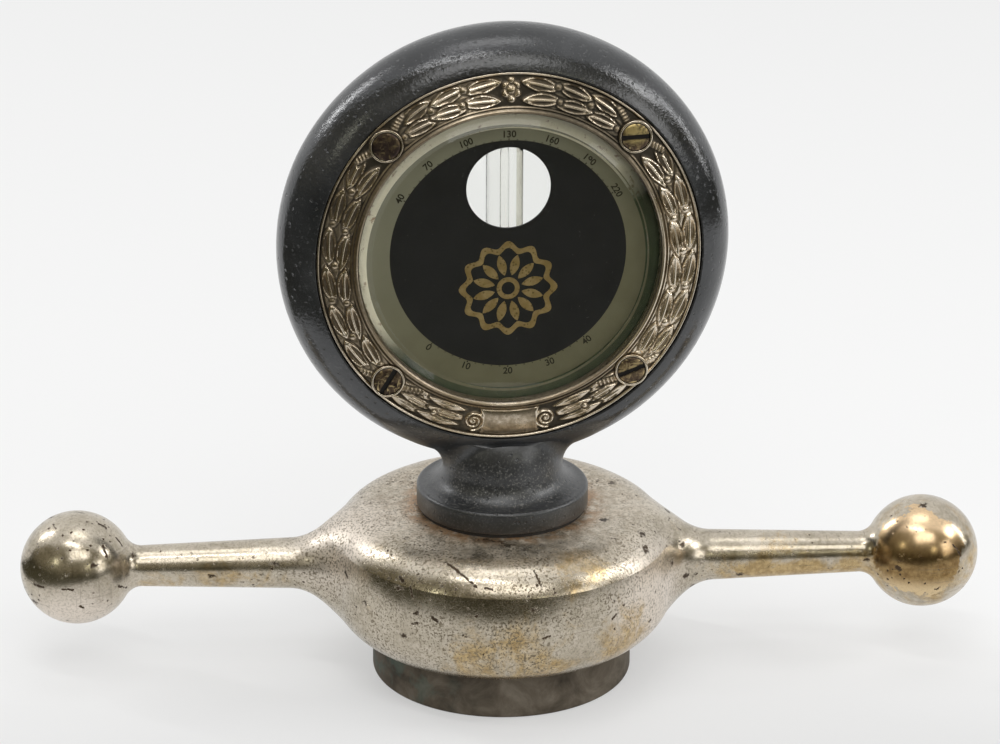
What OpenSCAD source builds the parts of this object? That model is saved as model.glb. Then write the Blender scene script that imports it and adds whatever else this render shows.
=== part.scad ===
// Two-handled radiator cap with a round, window-type thermometer standing on it.
// Millimetres. The origin is the centre of the collar's underside, +Z is up and
// the front dial faces -Y, apart from the small turn of the meter on its cap.

/* [Cap] */
// Outer radius of the cap's drum
cap_r = 37.1; // [35:0.1:42]
// Height of the drum, from the collar's ledge to the meter's seat
cap_h = 27.3; // [25:0.1:34]
// Thickness of the drum's side wall
cap_wall = 4; // [3:0.1:5]
// Thickness of the drum's top
cap_top = 4.5; // [3.5:0.1:6]
// Rounding of the shoulder, above the arms
shoulder_round = 8.6; // [6:0.1:10]
// Rounding of the belly, below the arms
belly_round = 10; // [7:0.1:11]

/* [Arms] */
// Height of the arms' axis above the collar's ledge
arm_rise = 14.5; // [12:0.1:18]
// Distance from the cap's axis to the centre of each ball
ball_reach = 91; // [80:0.5:110]
// Radius of each ball
ball_r = 12.1; // [10:0.1:14]
// Radius of an arm at its root
arm_root_r = 5.8; // [5:0.1:7]
// Radius of an arm at its ball
arm_tip_r = 4.4; // [3.5:0.1:5]
// Largest radius of the flare where an arm meets the drum
arm_flare_r = 9.4; // [7.5:0.1:10]
// Fillet between an arm and the drum
arm_root_fillet = 8; // [4:0.1:9]
// Depth of the flare's edge below the drum's largest radius
arm_sink = 1; // [0.5:0.1:1.5]
// Fillet between an arm and its ball
arm_ball_fillet = 4; // [2:0.1:6]

/* [Collar] */
// Outer radius of the threaded collar
collar_r = 27.9; // [26:0.1:32]
// Height of the collar below the cap
collar_h = 9.8; // [8:0.1:14]
// Inner radius of the collar's thread
thread_r = 22.2; // [18:0.1:23]
// Length of the collar's thread
thread_l = 10; // [8:0.1:12]
// Lead-in chamfer at the mouth of the thread
thread_lead = 1; // [0.5:0.1:1.5]
// Wall of the spigot that fits into the cap, outside the gasket's groove
spigot_wall = 2.5; // [1.5:0.1:4]
// Thickness of the neck gasket
neck_gasket_t = 2.5; // [1.5:0.1:4]
// Depth of the groove that keeps the neck gasket
gasket_groove = 0.8; // [0.4:0.1:1.2]
// Radius of the hole through the collar's top
collar_hole_r = 18; // [14:0.1:19]
// Thickness of the collar's top
collar_top = 3; // [2:0.1:5]

/* [Meter housing] */
// Turn of the meter on the cap, in degrees
meter_turn = 4.5; // [0:0.5:360]
// Radial width of the ring's rounded outside
ring_bulge = 7; // [6:0.1:8]
// Width of the ring's lip round a bezel
ring_lip = 0.2; // [0.1:0.1:1]
// Half the depth of the ring
ring_half = 10; // [9.5:0.1:12]
// Height of the dial's centre above the underside of the foot
dial_rise = 58.6; // [57:0.1:70]
// Radius of the foot
foot_r = 18.3; // [17:0.1:22]
// Height of the foot's rim
foot_h = 4.7; // [4:0.1:6]
// Rounding of the rim's upper edge
foot_round = 0.8; // [0.3:0.1:1.5]
// Radius of the neck
neck_r = 12.8; // [12:0.1:14]
// Fillet between the neck and the foot
neck_fillet = 4.4; // [3:0.1:4.6]
// Height of the neck's round top's centre above the underside of the foot
neck_rise = 10.1; // [9:0.1:11]
// Thickness of the gasket under the foot
foot_gasket_t = 0.8; // [0.5:0.1:1.5]
// Step from the foot's edge to the gasket's edge
foot_gasket_step = 0.5; // [0.2:0.1:1]

/* [Dials and glasses] */
// Distance from the middle of the ring to the back of a dial
dial_seat = 5.4; // [5:0.1:5.8]
// Width of the ledge that carries a dial
dial_ledge = 1.5; // [1:0.1:1.8]
// Thickness of a dial
dial_t = 0.6; // [0.4:0.1:0.8]
// Radius of the front dial's window
window_r = 8.75; // [6:0.05:10]
// Height of the front window's centre above the dial's centre
window_rise = 14.33; // [11:0.01:17]
// Radius of the rear dial's window
rear_window_r = 10.8; // [8:0.1:12]
// Height of the rear window's centre above the dial's centre
rear_window_rise = 9.5; // [6:0.1:14]
// Thickness of the spacer ring between dial and glass
spacer_t = 0.8; // [0.5:0.1:1]
// Width of the spacer ring
spacer_w = 4.2; // [2:0.1:6]
// Thickness of a glass at its edge
glass_edge_t = 2; // [1.5:0.1:2.4]
// Width of a glass's bevel
bevel_w = 2.5; // [1:0.1:4]
// Gap from the foot of a glass's bevel to its bezel
bevel_gap = 0.3; // [0.1:0.1:1]
// Height of a glass's bevel
bevel_h = 1.6; // [0.8:0.1:2]

/* [Bezels and screws] */
// Distance from the screws' circle out to a bezel's edge
flange_out = 3.9; // [3.5:0.1:6]
// Distance from the screws' circle in to the seat of the dial
flange_in = 2.3; // [1.7:0.1:5]
// Width by which a bezel laps over the edge of its glass
bezel_lap = 2.3; // [1.5:0.1:3.5]
// Distance from the middle of the ring to the housing's seat for a bezel
bezel_seat = 7.4; // [7:0.1:7.8]
// Thickness of a bezel at its outer rim
bezel_rim_t = 2; // [1.5:0.1:2.5]
// Thickness of a bezel at its inner lip
bezel_lip_t = 4; // [3.6:0.1:4.5]
// Width of a bezel's rolled inner lip
bezel_lip_w = 1; // [0.6:0.1:1.5]
// Distance from the dial's centre to each screw
screw_reach = 36.2; // [32:0.1:44]
// Radius of a raised boss under a screw's head
boss_r = 3.5; // [3.3:0.1:3.8]
// Thickness of a bezel at its bosses
boss_t = 3.7; // [2.9:0.1:4.2]
// Depth of the pocket that a screw's head sits in
pocket_d = 1; // [0.6:0.1:1.4]
// Radius of a screw's head
screw_head_r = 2.85; // [2.4:0.05:3.2]
// Height of a screw's head
screw_head_h = 1.2; // [0.9:0.1:2]
// Bevel at the edge of a screw's head
screw_head_bevel = 0.3; // [0.1:0.1:0.8]
// Radius of a screw's shank
screw_r = 1.3; // [1:0.1:1.5]
// Length of a screw's shank
screw_l = 7.8; // [5:0.1:9]
// Width of a screw's slot
slot_w = 0.8; // [0.5:0.1:1.2]
// Depth of a screw's slot
slot_d = 0.7; // [0.4:0.1:0.9]
// Turn of the slots, in degrees
slot_turn = 20; // [0:1:180]

/* [Stem and nut] */
// Outer radius of the stem
stem_r = 6.35; // [6:0.05:6.8]
// Radial gap between the stem's bore and the glass tube
stem_gap = 0.2; // [0.1:0.05:0.6]
// Length of the stem below the underside of the foot
stem_below = 15.9; // [14.5:0.1:17]
// Length of the stem above the underside of the foot
stem_above = 14.1; // [10:0.1:16]
// Length of the packing bush above the stem
packing_l = 4; // [2:0.1:6]
// Thickness of the washer
washer_t = 1.2; // [1:0.1:2]
// Outer radius of the washer
washer_r = 11; // [10.5:0.1:16]
// Width of the nut across its flats
nut_flats = 19; // [17:0.5:22]
// Height of the nut
nut_h = 6; // [4:0.1:6.5]
// Length of the bulb guard below the stem
guard_l = 9.5; // [8:0.1:9.8]
// Wall of the bulb guard
guard_wall = 1; // [0.6:0.1:1.5]
// Step from the stem's outside to the guard's outside
guard_step = 0.15; // [0.1:0.05:0.3]
// Radius of the guard's holes
guard_hole_r = 1.1; // [0.6:0.1:1.3]
// Number of holes in each of the guard's rows
guard_holes = 8; // [4:1:9]

/* [Thermometer] */
// Outer radius of the glass tube
tube_r = 3.8; // [3.4:0.1:3.8]
// Length of the glass tube
tube_l = 105.5; // [95:0.5:120]
// Distance from the guard's lower end up to the tube's lower end
tube_inset = 1; // [0.5:0.1:2]
// Wall of the bulb
bulb_wall = 1; // [0.7:0.1:1.4]
// Thickness of the bulb's bottom
bulb_floor = 1.5; // [1:0.1:2]
// Length of the bulb
bulb_l = 11; // [8:0.5:13]
// Radius of the capillary
capillary_r = 0.7; // [0.5:0.05:0.9]
// Thickness of the tube's sealed top
tube_crown = 3; // [2:0.1:5]
// Gap from the top of the resting column to the front window's lower edge
column_hides = 2; // [1:0.1:6]

/* [Clearances] */
// Radial clearance of a part that turns or slides on another
running = 0.07; // [0.03:0.01:0.1]
// Radial clearance of a part that is fitted and stays
fitted = 0.05; // [0.03:0.01:0.1]
// Radial clearance of the round parts in the housing
seat_gap = 0.2; // [0.1:0.05:0.4]
// Radial clearance of the washer on the stem
washer_gap = 0.15; // [0.12:0.01:0.3]
// Radial clearance of the glass tube in the neck
tube_gap = 0.4; // [0.2:0.05:0.6]

/* [Hidden] */
$fn = 96;
overcut = 1;

cap_seat_z = collar_h + cap_h;
cap_under_z = cap_seat_z - cap_top;
cap_in_r = cap_r - cap_wall;
arm_z = collar_h + arm_rise;
arm_start = cap_r - cap_wall / 2;
ball_fillet_r = arm_tip_r + arm_ball_fillet;
ball_fillet_reach = sqrt(pow(ball_r + arm_ball_fillet, 2) - pow(ball_fillet_r, 2));
ball_share = ball_r / (ball_r + arm_ball_fillet);
root_fillet_r = arm_root_r + arm_root_fillet;
root_fillet_x = cap_r - arm_sink + sqrt(pow(arm_root_fillet, 2) - pow(root_fillet_r - arm_flare_r, 2));

thread_top = thread_lead + thread_l;
neck_gasket_top = thread_top + neck_gasket_t;
collar_top_z = neck_gasket_top + collar_top;
groove_r = thread_r + gasket_groove;
neck_gasket_r = groove_r - fitted;
spigot_r = groove_r + spigot_wall;

foot_z = cap_seat_z + foot_gasket_t;
foot_top_z = foot_z + foot_h;
neck_z = foot_z + neck_rise;
dial_z = foot_z + dial_rise;
foot_fillet = min(neck_fillet, foot_r - foot_round - neck_r);

dial_seat_r = screw_reach - flange_in;
dial_r = dial_seat_r - seat_gap;
bore_r = dial_seat_r - dial_ledge;
spacer_in_r = dial_r - spacer_w;
bezel_in_r = dial_r - bezel_lap;
bevel_foot_r = bezel_in_r - bevel_gap;
bevel_top_r = bevel_foot_r - bevel_w;
bezel_r = screw_reach + flange_out;
bezel_seat_r = bezel_r + seat_gap;
ring_r = bezel_seat_r + ring_lip + ring_bulge;
ring_arc_r = (pow(ring_bulge, 2) + pow(ring_half, 2)) / (2 * ring_bulge);

spacer_d = dial_seat + dial_t;
glass_d = spacer_d + spacer_t;
glass_edge_d = glass_d + glass_edge_t;
bezel_rim_d = bezel_seat + bezel_rim_t;
bezel_lip_d = bezel_seat + bezel_lip_t;
boss_d = bezel_seat + boss_t;
pocket_r = screw_head_r + seat_gap;
head_d = boss_d - pocket_d;
head_top_d = head_d + screw_head_h;
screw_end_d = head_d - screw_l;
screw_places = [45, 135, 225, 315];

stem_bore_r = tube_r + stem_gap;
stem_low_z = foot_z - stem_below;
stem_top_z = foot_z + stem_above;
packing_top_z = stem_top_z + packing_l;
guard_low_z = stem_low_z - guard_l;
guard_r = stem_r - guard_step;
guard_rows = [0.35, 0.7];
washer_low_z = cap_under_z - washer_t;
nut_low_z = washer_low_z - nut_h;

tube_low_z = guard_low_z + tube_inset;
tube_top_z = tube_low_z + tube_l;
bulb_low_z = tube_low_z + bulb_floor;
bulb_top_z = bulb_low_z + bulb_l;
bulb_r = tube_r - bulb_wall;
capillary_top_z = tube_top_z - tube_crown;
column_r = capillary_r - running;
column_low_z = bulb_low_z + fitted;
column_top_z = dial_z + window_rise - window_r - column_hides;

// A round part along Z from z0 to z1, with a bore where bore is above 0
module tube(r, bore, z0, z1) {
    translate([0, 0, z0])
        difference() {
            cylinder(r = r, h = z1 - z0);
            if (bore > 0)
                translate([0, 0, -overcut])
                    cylinder(r = bore, h = z1 - z0 + 2 * overcut);
        }
}

// Places what is drawn in the dial's frame: Y is up, +Z comes out of the front
module on_dial(side_turn) {
    rotate([0, 0, meter_turn + side_turn])
        translate([0, 0, dial_z])
            rotate([90, 0, 0])
                children();
}

module on_front() {
    on_dial(0) children();
}

module on_rear() {
    on_dial(180) children();
}

// Half section of a drum with rounded shoulder and belly, by radius and height
module drum_section(r, z0, z1, upper, lower) {
    square_to(r - max(upper, lower), z0, z1);
    square_to(r, z0 + lower, z1 - upper);
    rounded_corner(r - lower, z0 + lower, lower);
    rounded_corner(r - upper, z1 - upper, upper);
    square_to(r - lower, z0, z0 + lower);
    square_to(r - upper, z1 - upper, z1);
}

module square_to(r, z0, z1) {
    translate([0, z0])
        square([r, z1 - z0]);
}

module rounded_corner(r, z, round) {
    translate([r, z])
        circle(r = round);
}

// One arm with its ball, along +Z from the cap's axis
module arm() {
    translate([0, 0, arm_start])
        cylinder(r1 = arm_root_r, r2 = arm_tip_r, h = ball_reach - ball_fillet_reach - arm_start);
    translate([0, 0, ball_reach - ball_fillet_reach])
        cylinder(r = arm_tip_r, h = ball_fillet_reach);
    translate([0, 0, ball_reach])
        sphere(r = ball_r);
    rotate_extrude()
        difference() {
            square_to(arm_flare_r, arm_start, root_fillet_x);
            rounded_corner(root_fillet_r, root_fillet_x, arm_root_fillet);
        }
    rotate_extrude()
        difference() {
            square_to(ball_fillet_r * ball_share, ball_reach - ball_fillet_reach,
                      ball_reach - ball_fillet_reach * ball_share);
            rounded_corner(ball_fillet_r, ball_reach - ball_fillet_reach, arm_ball_fillet);
        }
}

module radiator_cap() {
    color("tan")
        difference() {
            union() {
                rotate_extrude()
                    drum_section(cap_r, collar_h, cap_seat_z, shoulder_round, belly_round);
                for (side = [-90, 90])
                    translate([0, 0, arm_z])
                        rotate([0, side, 0])
                            arm();
            }
            rotate_extrude()
                drum_section(cap_in_r, collar_h + cap_wall, cap_under_z,
                             shoulder_round - cap_wall, belly_round - cap_wall);
            tube(spigot_r + fitted, 0, collar_h - overcut, collar_h + belly_round);
            tube(stem_r + running, 0, cap_under_z - overcut, cap_seat_z + overcut);
        }
}

module threaded_collar() {
    color("dimgray")
        difference() {
            union() {
                tube(collar_r, 0, 0, collar_h);
                tube(spigot_r, 0, collar_h - overcut, collar_top_z);
            }
            tube(thread_r, 0, -overcut, thread_top + overcut);
            translate([0, 0, -overcut])
                cylinder(r1 = thread_r + thread_lead + overcut, r2 = thread_r, h = thread_lead + overcut);
            tube(groove_r, 0, thread_top, neck_gasket_top);
            tube(collar_hole_r, 0, thread_top, collar_top_z + overcut);
        }
}

module neck_gasket() {
    color("saddlebrown")
        tube(neck_gasket_r, collar_hole_r, thread_top, neck_gasket_top);
}

module foot_gasket() {
    color("black")
        tube(foot_r - foot_gasket_step, stem_r + washer_gap, cap_seat_z, foot_z);
}

// Half section of the foot and the round-topped neck, by radius and height
module foot_section() {
    square_to(foot_r - foot_round, foot_z, foot_top_z);
    square_to(foot_r, foot_z, foot_top_z - foot_round);
    rounded_corner(foot_r - foot_round, foot_top_z - foot_round, foot_round);
    difference() {
        square_to(neck_r + foot_fillet, foot_top_z - foot_round, foot_top_z + foot_fillet);
        rounded_corner(neck_r + foot_fillet, foot_top_z + foot_fillet, foot_fillet);
    }
    square_to(neck_r, foot_top_z - foot_round, neck_z);
    intersection() {
        rounded_corner(0, neck_z, neck_r);
        square_to(neck_r, neck_z, neck_z + neck_r);
    }
}

// Places what is drawn, upright, at each screw of a bezel
module at_screws() {
    for (place = screw_places)
        translate([screw_reach * cos(place), screw_reach * sin(place), 0])
            children();
}

// Bored seats for dial, glass and bezel on one side of the ring
module seats() {
    translate([0, 0, dial_seat])
        cylinder(r = dial_seat_r, h = ring_half);
    translate([0, 0, bezel_seat])
        cylinder(r = bezel_seat_r, h = ring_half);
    at_screws()
        tube(screw_r + fitted, 0, screw_end_d, bezel_seat + overcut);
}

module meter_housing() {
    color("darkslategray")
        difference() {
            union() {
                on_front()
                    rotate_extrude()
                        intersection() {
                            translate([ring_r - ring_arc_r, 0])
                                circle(r = ring_arc_r);
                            translate([bore_r, -ring_half])
                                square([ring_r, 2 * ring_half]);
                        }
                rotate_extrude()
                    foot_section();
            }
            on_front()
                translate([0, 0, -ring_half])
                    cylinder(r = bore_r, h = 2 * ring_half);
            on_front() seats();
            on_rear() seats();
            tube(stem_r + fitted, 0, foot_z - overcut, packing_top_z);
            tube(tube_r + tube_gap, 0, packing_top_z - overcut, tube_top_z + tube_gap);
        }
}

// A dial with its window, by the window's radius and height
module dial(hole_r, hole_rise) {
    translate([0, 0, dial_seat])
        difference() {
            cylinder(r = dial_r, h = dial_t);
            translate([0, hole_rise, -overcut])
                cylinder(r = hole_r, h = dial_t + 2 * overcut);
        }
}

module front_dial() {
    color("black")
        on_front() dial(window_r, window_rise);
}

module rear_dial() {
    color("black")
        on_rear() dial(rear_window_r, rear_window_rise);
}

module spacer() {
    tube(dial_r, spacer_in_r, spacer_d, glass_d);
}

module front_gasket() {
    color("cornsilk")
        on_front() spacer();
}

module rear_gasket() {
    color("cornsilk")
        on_rear() spacer();
}

module glass() {
    tube(dial_r, 0, glass_d, glass_edge_d);
    translate([0, 0, glass_edge_d])
        cylinder(r1 = bevel_foot_r, r2 = bevel_top_r, h = bevel_h);
}

module front_glass() {
    color("aliceblue", 0.4)
        on_front() glass();
}

module rear_glass() {
    color("aliceblue", 0.4)
        on_rear() glass();
}

// Ring that slopes up from its rim to its inner lip, with a pocketed boss for each screw
module bezel() {
    difference() {
        union() {
            rotate_extrude()
                polygon([
                    [bezel_in_r, glass_edge_d],
                    [dial_r, glass_edge_d],
                    [dial_r, bezel_seat],
                    [bezel_r, bezel_seat],
                    [bezel_r, bezel_rim_d],
                    [bezel_in_r + bezel_lip_w, bezel_lip_d],
                    [bezel_in_r, bezel_lip_d]
                ]);
            at_screws()
                tube(boss_r, 0, glass_edge_d, boss_d);
        }
        at_screws() {
            tube(screw_r + fitted, 0, bezel_seat - overcut, boss_d);
            tube(pocket_r, 0, head_d, boss_d + overcut);
            tube(boss_r, 0, boss_d, boss_d + overcut);
        }
    }
}

module front_bezel() {
    color("rosybrown")
        on_front() bezel();
}

module rear_bezel() {
    color("rosybrown")
        on_rear() bezel();
}

module screw() {
    difference() {
        union() {
            tube(screw_r, 0, screw_end_d, head_top_d - slot_d);
            tube(screw_head_r, 0, head_d, head_top_d - screw_head_bevel);
            translate([0, 0, head_top_d - screw_head_bevel])
                cylinder(r1 = screw_head_r, r2 = screw_head_r - screw_head_bevel, h = screw_head_bevel);
        }
        rotate([0, 0, slot_turn])
            translate([-screw_head_r - overcut, -slot_w / 2, head_top_d - slot_d])
                cube([2 * (screw_head_r + overcut), slot_w, slot_d + overcut]);
    }
}

module screws() {
    at_screws() screw();
}

module front_screws() {
    color("darkgoldenrod")
        on_front() screws();
}

module rear_screws() {
    color("darkgoldenrod")
        on_rear() screws();
}

module thermometer_tube() {
    color("lightcyan", 0.4)
        difference() {
            tube(tube_r, 0, tube_low_z, tube_top_z);
            tube(bulb_r, 0, bulb_low_z, bulb_top_z);
            tube(capillary_r, 0, bulb_top_z - overcut, capillary_top_z);
        }
}

module spirit_reservoir() {
    color("crimson")
        tube(bulb_r - fitted, capillary_r, bulb_low_z, bulb_top_z);
}

module spirit_column() {
    color("crimson")
        tube(column_r, 0, column_low_z, column_top_z);
}

module stem_tube() {
    color("goldenrod")
        tube(stem_r, stem_bore_r, stem_low_z, stem_top_z);
}

module packing_bush() {
    color("peru")
        tube(stem_r, tube_r + fitted, stem_top_z, packing_top_z);
}

module bulb_guard() {
    color("goldenrod")
        rotate([0, 0, meter_turn])
            difference() {
                tube(guard_r, guard_r - guard_wall, guard_low_z, stem_low_z);
                for (row = guard_rows, hole = [0 : guard_holes - 1])
                    translate([0, 0, guard_low_z + row * guard_l])
                        rotate([90, 0, (hole + row) * 360 / guard_holes])
                            cylinder(r = guard_hole_r, h = guard_r + overcut);
            }
}

module stem_washer() {
    color("darkgoldenrod")
        tube(washer_r, stem_r + washer_gap, washer_low_z, cap_under_z);
}

module stem_nut() {
    color("darkgoldenrod")
        difference() {
            translate([0, 0, nut_low_z])
                cylinder(r = nut_flats / sqrt(3), h = nut_h, $fn = 6);
            tube(stem_r + running, 0, nut_low_z - overcut, washer_low_z + overcut);
        }
}

radiator_cap();
threaded_collar();
neck_gasket();
foot_gasket();
meter_housing();
front_bezel();
rear_bezel();
front_screws();
rear_screws();
front_glass();
rear_glass();
front_gasket();
rear_gasket();
front_dial();
rear_dial();
thermometer_tube();
spirit_reservoir();
spirit_column();
stem_tube();
packing_bush();
bulb_guard();
stem_washer();
stem_nut();
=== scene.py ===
import math

import bmesh
import bpy
import numpy as np
from mathutils import Matrix, Vector

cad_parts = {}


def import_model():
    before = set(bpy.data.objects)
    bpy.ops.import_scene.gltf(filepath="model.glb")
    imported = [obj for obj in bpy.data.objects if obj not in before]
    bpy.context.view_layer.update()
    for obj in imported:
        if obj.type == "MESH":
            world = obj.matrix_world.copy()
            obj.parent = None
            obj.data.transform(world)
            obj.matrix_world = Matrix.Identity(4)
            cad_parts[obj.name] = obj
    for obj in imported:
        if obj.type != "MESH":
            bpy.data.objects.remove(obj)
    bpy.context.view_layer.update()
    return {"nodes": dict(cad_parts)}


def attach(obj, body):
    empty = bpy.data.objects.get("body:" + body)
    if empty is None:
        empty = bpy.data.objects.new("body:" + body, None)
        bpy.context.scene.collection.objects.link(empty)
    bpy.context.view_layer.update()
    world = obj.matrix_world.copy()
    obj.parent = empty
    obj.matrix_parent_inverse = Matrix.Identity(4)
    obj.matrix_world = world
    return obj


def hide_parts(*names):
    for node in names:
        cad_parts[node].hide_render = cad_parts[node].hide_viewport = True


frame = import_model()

# Lengths below are in millimetres until a mesh is made
MM = 0.001

# The meter's turn at rest, the height of its dials' middle, and the screws' distance from it
TURN = math.radians(4.5)
DIAL_Z = 96.5
SCREW_REACH = 36.2


# Shapes


def arc(cx, cy, r, a0, a1, n):
    """Points of a circle's arc, by angles in degrees"""
    t = np.radians(np.linspace(a0, a1, n))
    return np.stack([cx + r * np.cos(t), cy + r * np.sin(t)], 1)


def unit(deg):
    """Direction of an angle in degrees"""
    a = math.radians(deg)
    return np.array([math.cos(a), math.sin(a)])


def around(n):
    """Directions round a circle in n steps, as cosines and sines"""
    t = np.linspace(0, 2 * np.pi, n, endpoint=False)
    return np.cos(t), np.sin(t)


def rounded(corners, n=5):
    """A closed outline from corners (x, y, radius)"""
    out = []
    pts = np.array([c[:2] for c in corners], float)
    for i, (x, y, r) in enumerate(corners):
        p = pts[i]
        if r <= 0:
            out.append(p)
            continue
        a = pts[i - 1] - p
        b = pts[(i + 1) % len(pts)] - p
        la = np.linalg.norm(a)
        lb = np.linalg.norm(b)
        a = a / la
        b = b / lb
        half = math.acos(max(-1.0, min(1.0, float(a @ b)))) / 2
        t = min(r / math.tan(half), 0.49 * la, 0.49 * lb)
        r = t * math.tan(half)
        mid = a + b
        centre = p + mid / np.linalg.norm(mid) * (r / math.sin(half))
        u = p + a * t - centre
        v = p + b * t - centre
        sweep = math.acos(max(-1.0, min(1.0, float(u @ v) / (r * r))))
        for w in np.arange(n + 1) / n:
            f = math.sin((1 - w) * sweep) / math.sin(sweep)
            g = math.sin(w * sweep) / math.sin(sweep)
            out.append(centre + f * u + g * v)
    return np.array(out)


def grid_faces(rows, cols, close_rows=True, close_cols=True):
    """Quads of a grid of points, row by row"""
    i = np.arange(rows if close_rows else rows - 1)
    j = np.arange(cols if close_cols else cols - 1)
    a, b = np.meshgrid(i, j, indexing="ij")
    a2 = (a + 1) % rows
    b2 = (b + 1) % cols
    quads = np.stack([a * cols + b, a * cols + b2, a2 * cols + b2, a2 * cols + b], -1)
    return quads.reshape(-1, 4)


def revolve(path, n, closed=True):
    """A turned shell about Z, from points (r, z)"""
    path = np.asarray(path, float)
    c, s = around(n)
    z = np.repeat(path[:, 1:], n, axis=1)
    points = np.stack([path[:, :1] * c, path[:, :1] * s, z], -1)
    return points.reshape(-1, 3), grid_faces(len(path), n, closed)


def at_height(outline, z):
    """A flat outline's points at this height"""
    return np.column_stack([outline, np.full(len(outline), z)])


def stacked(*layers):
    """A shell through closed outlines of equal length, given as (outline, height), and back to the first"""
    rows = [at_height(outline, z) for outline, z in layers]
    return np.vstack(rows), grid_faces(len(rows), len(rows[0]))


def prism(outline, z0, z1):
    """A straight-sided plate with this outline"""
    n = len(outline)
    verts = np.vstack([at_height(outline, z0), at_height(outline, z1)])
    sides = [[i, (i + 1) % n, n + (i + 1) % n, n + i] for i in range(n)]
    return verts, sides + [list(range(n))[::-1], list(range(n, 2 * n))]


def wobble(p, size, amount, seed):
    """A smooth unevenness of about this wavelength, for points in rows"""
    rng = np.random.default_rng(seed)
    out = np.zeros(len(p))
    for _ in range(14):
        k = rng.normal(size=3)
        k *= 2 * np.pi / size / np.linalg.norm(k) * rng.uniform(0.6, 1.5)
        out += np.sin(p @ k + rng.uniform(0, 6.28))
    return out * amount / 3.7


def round_union(a, b, r):
    """Two distances joined with a fillet of radius r"""
    u = np.maximum(r - a, 0)
    v = np.maximum(r - b, 0)
    return np.maximum(r, np.minimum(a, b)) - np.sqrt(u * u + v * v)


def settle(p, field, level):
    """Moves points onto the surface where the field has this level"""
    for _ in range(9):
        g = np.zeros_like(p)
        for a in range(3):
            step = np.zeros(3)
            step[a] = 0.002
            g[:, a] = field(p + step) - field(p - step)
        g /= np.maximum(np.linalg.norm(g, axis=1), 1e-9)[:, None]
        p = p - g * np.clip(field(p) - level, -1.5, 1.5)[:, None]
    return p


def on_front(p):
    """From the dial's own right, up and out to the frame"""
    c = math.cos(TURN)
    s = math.sin(TURN)
    return np.stack([p[:, 0] * c + p[:, 2] * s, p[:, 0] * s - p[:, 2] * c, p[:, 1] + DIAL_Z], 1)


def on_rear(p):
    """The same for the dial on the far side"""
    return on_front(p) * np.array([-1.0, -1.0, 1.0])


SIDES = (("front", on_front), ("rear", on_rear))


def moved(shells, place):
    """Shells with their points put in another place"""
    return [(place(p), faces) for p, faces in shells]


def shift(p, x, y, z=0.0):
    return p + np.array([x, y, z])


def add_object(name, data):
    ob = bpy.data.objects.new(name, data)
    bpy.context.scene.collection.objects.link(ob)
    return ob


def make(name, shells, material, body, nodes=(), sharp=32.0, weld=False, attr=None):
    """One object from shells of points and faces, on its body"""
    verts = []
    faces = []
    base = 0
    for p, f in shells:
        verts.append(np.asarray(p, float))
        faces.extend((np.asarray(q) + base).tolist() for q in f)
        base += len(p)
    me = bpy.data.meshes.new(name)
    me.from_pydata((np.vstack(verts) * MM).tolist(), [], faces)
    if attr is not None:
        layer = me.attributes.new(attr[0], "FLOAT", "POINT")
        layer.data.foreach_set("value", np.asarray(attr[1], np.float32))
    bm = bmesh.new()
    bm.from_mesh(me)
    if weld:
        bmesh.ops.remove_doubles(bm, verts=bm.verts, dist=2e-7)
        bmesh.ops.dissolve_degenerate(bm, edges=bm.edges, dist=1e-7)
    bmesh.ops.recalc_face_normals(bm, faces=bm.faces)
    bm.to_mesh(me)
    bm.free()
    me.shade_smooth()
    me.set_sharp_from_angle(angle=math.radians(sharp))
    me.materials.append(material)
    ob = add_object(name, me)
    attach(ob, body)
    if nodes:
        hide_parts(*nodes)
    return ob


# Outline of the cap

CAP_LOW = 9.8
CAP_TOP = 37.1
BELLY = (27.1, 19.8)
EDGE_LOW = 14.0
EDGE_HIGH = 27.0
EDGE_ROUND = 0.7
ARM_Z = 24.3
BALL_X = 91.0
BALL_R = 12.1
ROOT_FILLET = 8.5


def drum_outline():
    """Outer half section of the drum, from its lower edge to its flat top, its shoulder with a soft edge"""
    belly = arc(*BELLY, 10.0, -90, 0, 26)
    wall = arc(2.1, 22.8, 35.0, 0, EDGE_LOW, 14)
    high = unit(EDGE_HIGH)
    edge = arc(*(wall[-1] - EDGE_ROUND * unit(EDGE_LOW)), EDGE_ROUND, EDGE_LOW, EDGE_HIGH, 6)
    r = (CAP_TOP - edge[-1, 1]) / (1 - high[1])
    shoulder = arc(*(edge[-1] - r * high), r, EDGE_HIGH, 90, 36)
    return np.vstack([belly, wall, edge[1:], shoulder[1:]])


DRUM = drum_outline()


def on_drum(deg, z):
    """A point of the drum by its angle from the front and its height"""
    r = float(np.interp(z, DRUM[:, 1], DRUM[:, 0]))
    c, s = unit(deg)
    return r * s, -r * c, z


def on_ball(side, deg, rise):
    """A point of a ball by its angle from the front and its elevation"""
    c, s = unit(deg)
    flat, up = BALL_R * unit(rise)
    return side * BALL_X + flat * s, -flat * c, ARM_Z + up


# Scratches and chips of the drum: angle and height of both ends, and width
DRUM_DENTS = (
    (-26.0, 36.3, -19.0, 35.3, 0.5),
    (-19.0, 35.3, -12.5, 33.4, 0.45),
    (-68.0, 28.2, -66.0, 27.6, 0.75),
    (-40.5, 32.7, -39.0, 32.2, 0.65),
    (-35.5, 31.6, -34.0, 29.6, 0.4),
    (-26.5, 26.2, -24.5, 25.5, 0.6),
    (-33.5, 23.7, -31.5, 24.4, 0.45),
    (35.0, 23.8, 36.5, 24.5, 0.5),
    (-9.0, 33.3, -7.0, 33.2, 0.4),
    (8.5, 35.7, 10.0, 33.5, 0.35),
    (10.0, 22.5, 12.5, 23.1, 0.35),
    (-12.0, 27.6, -11.0, 28.1, 0.45),
)

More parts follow.
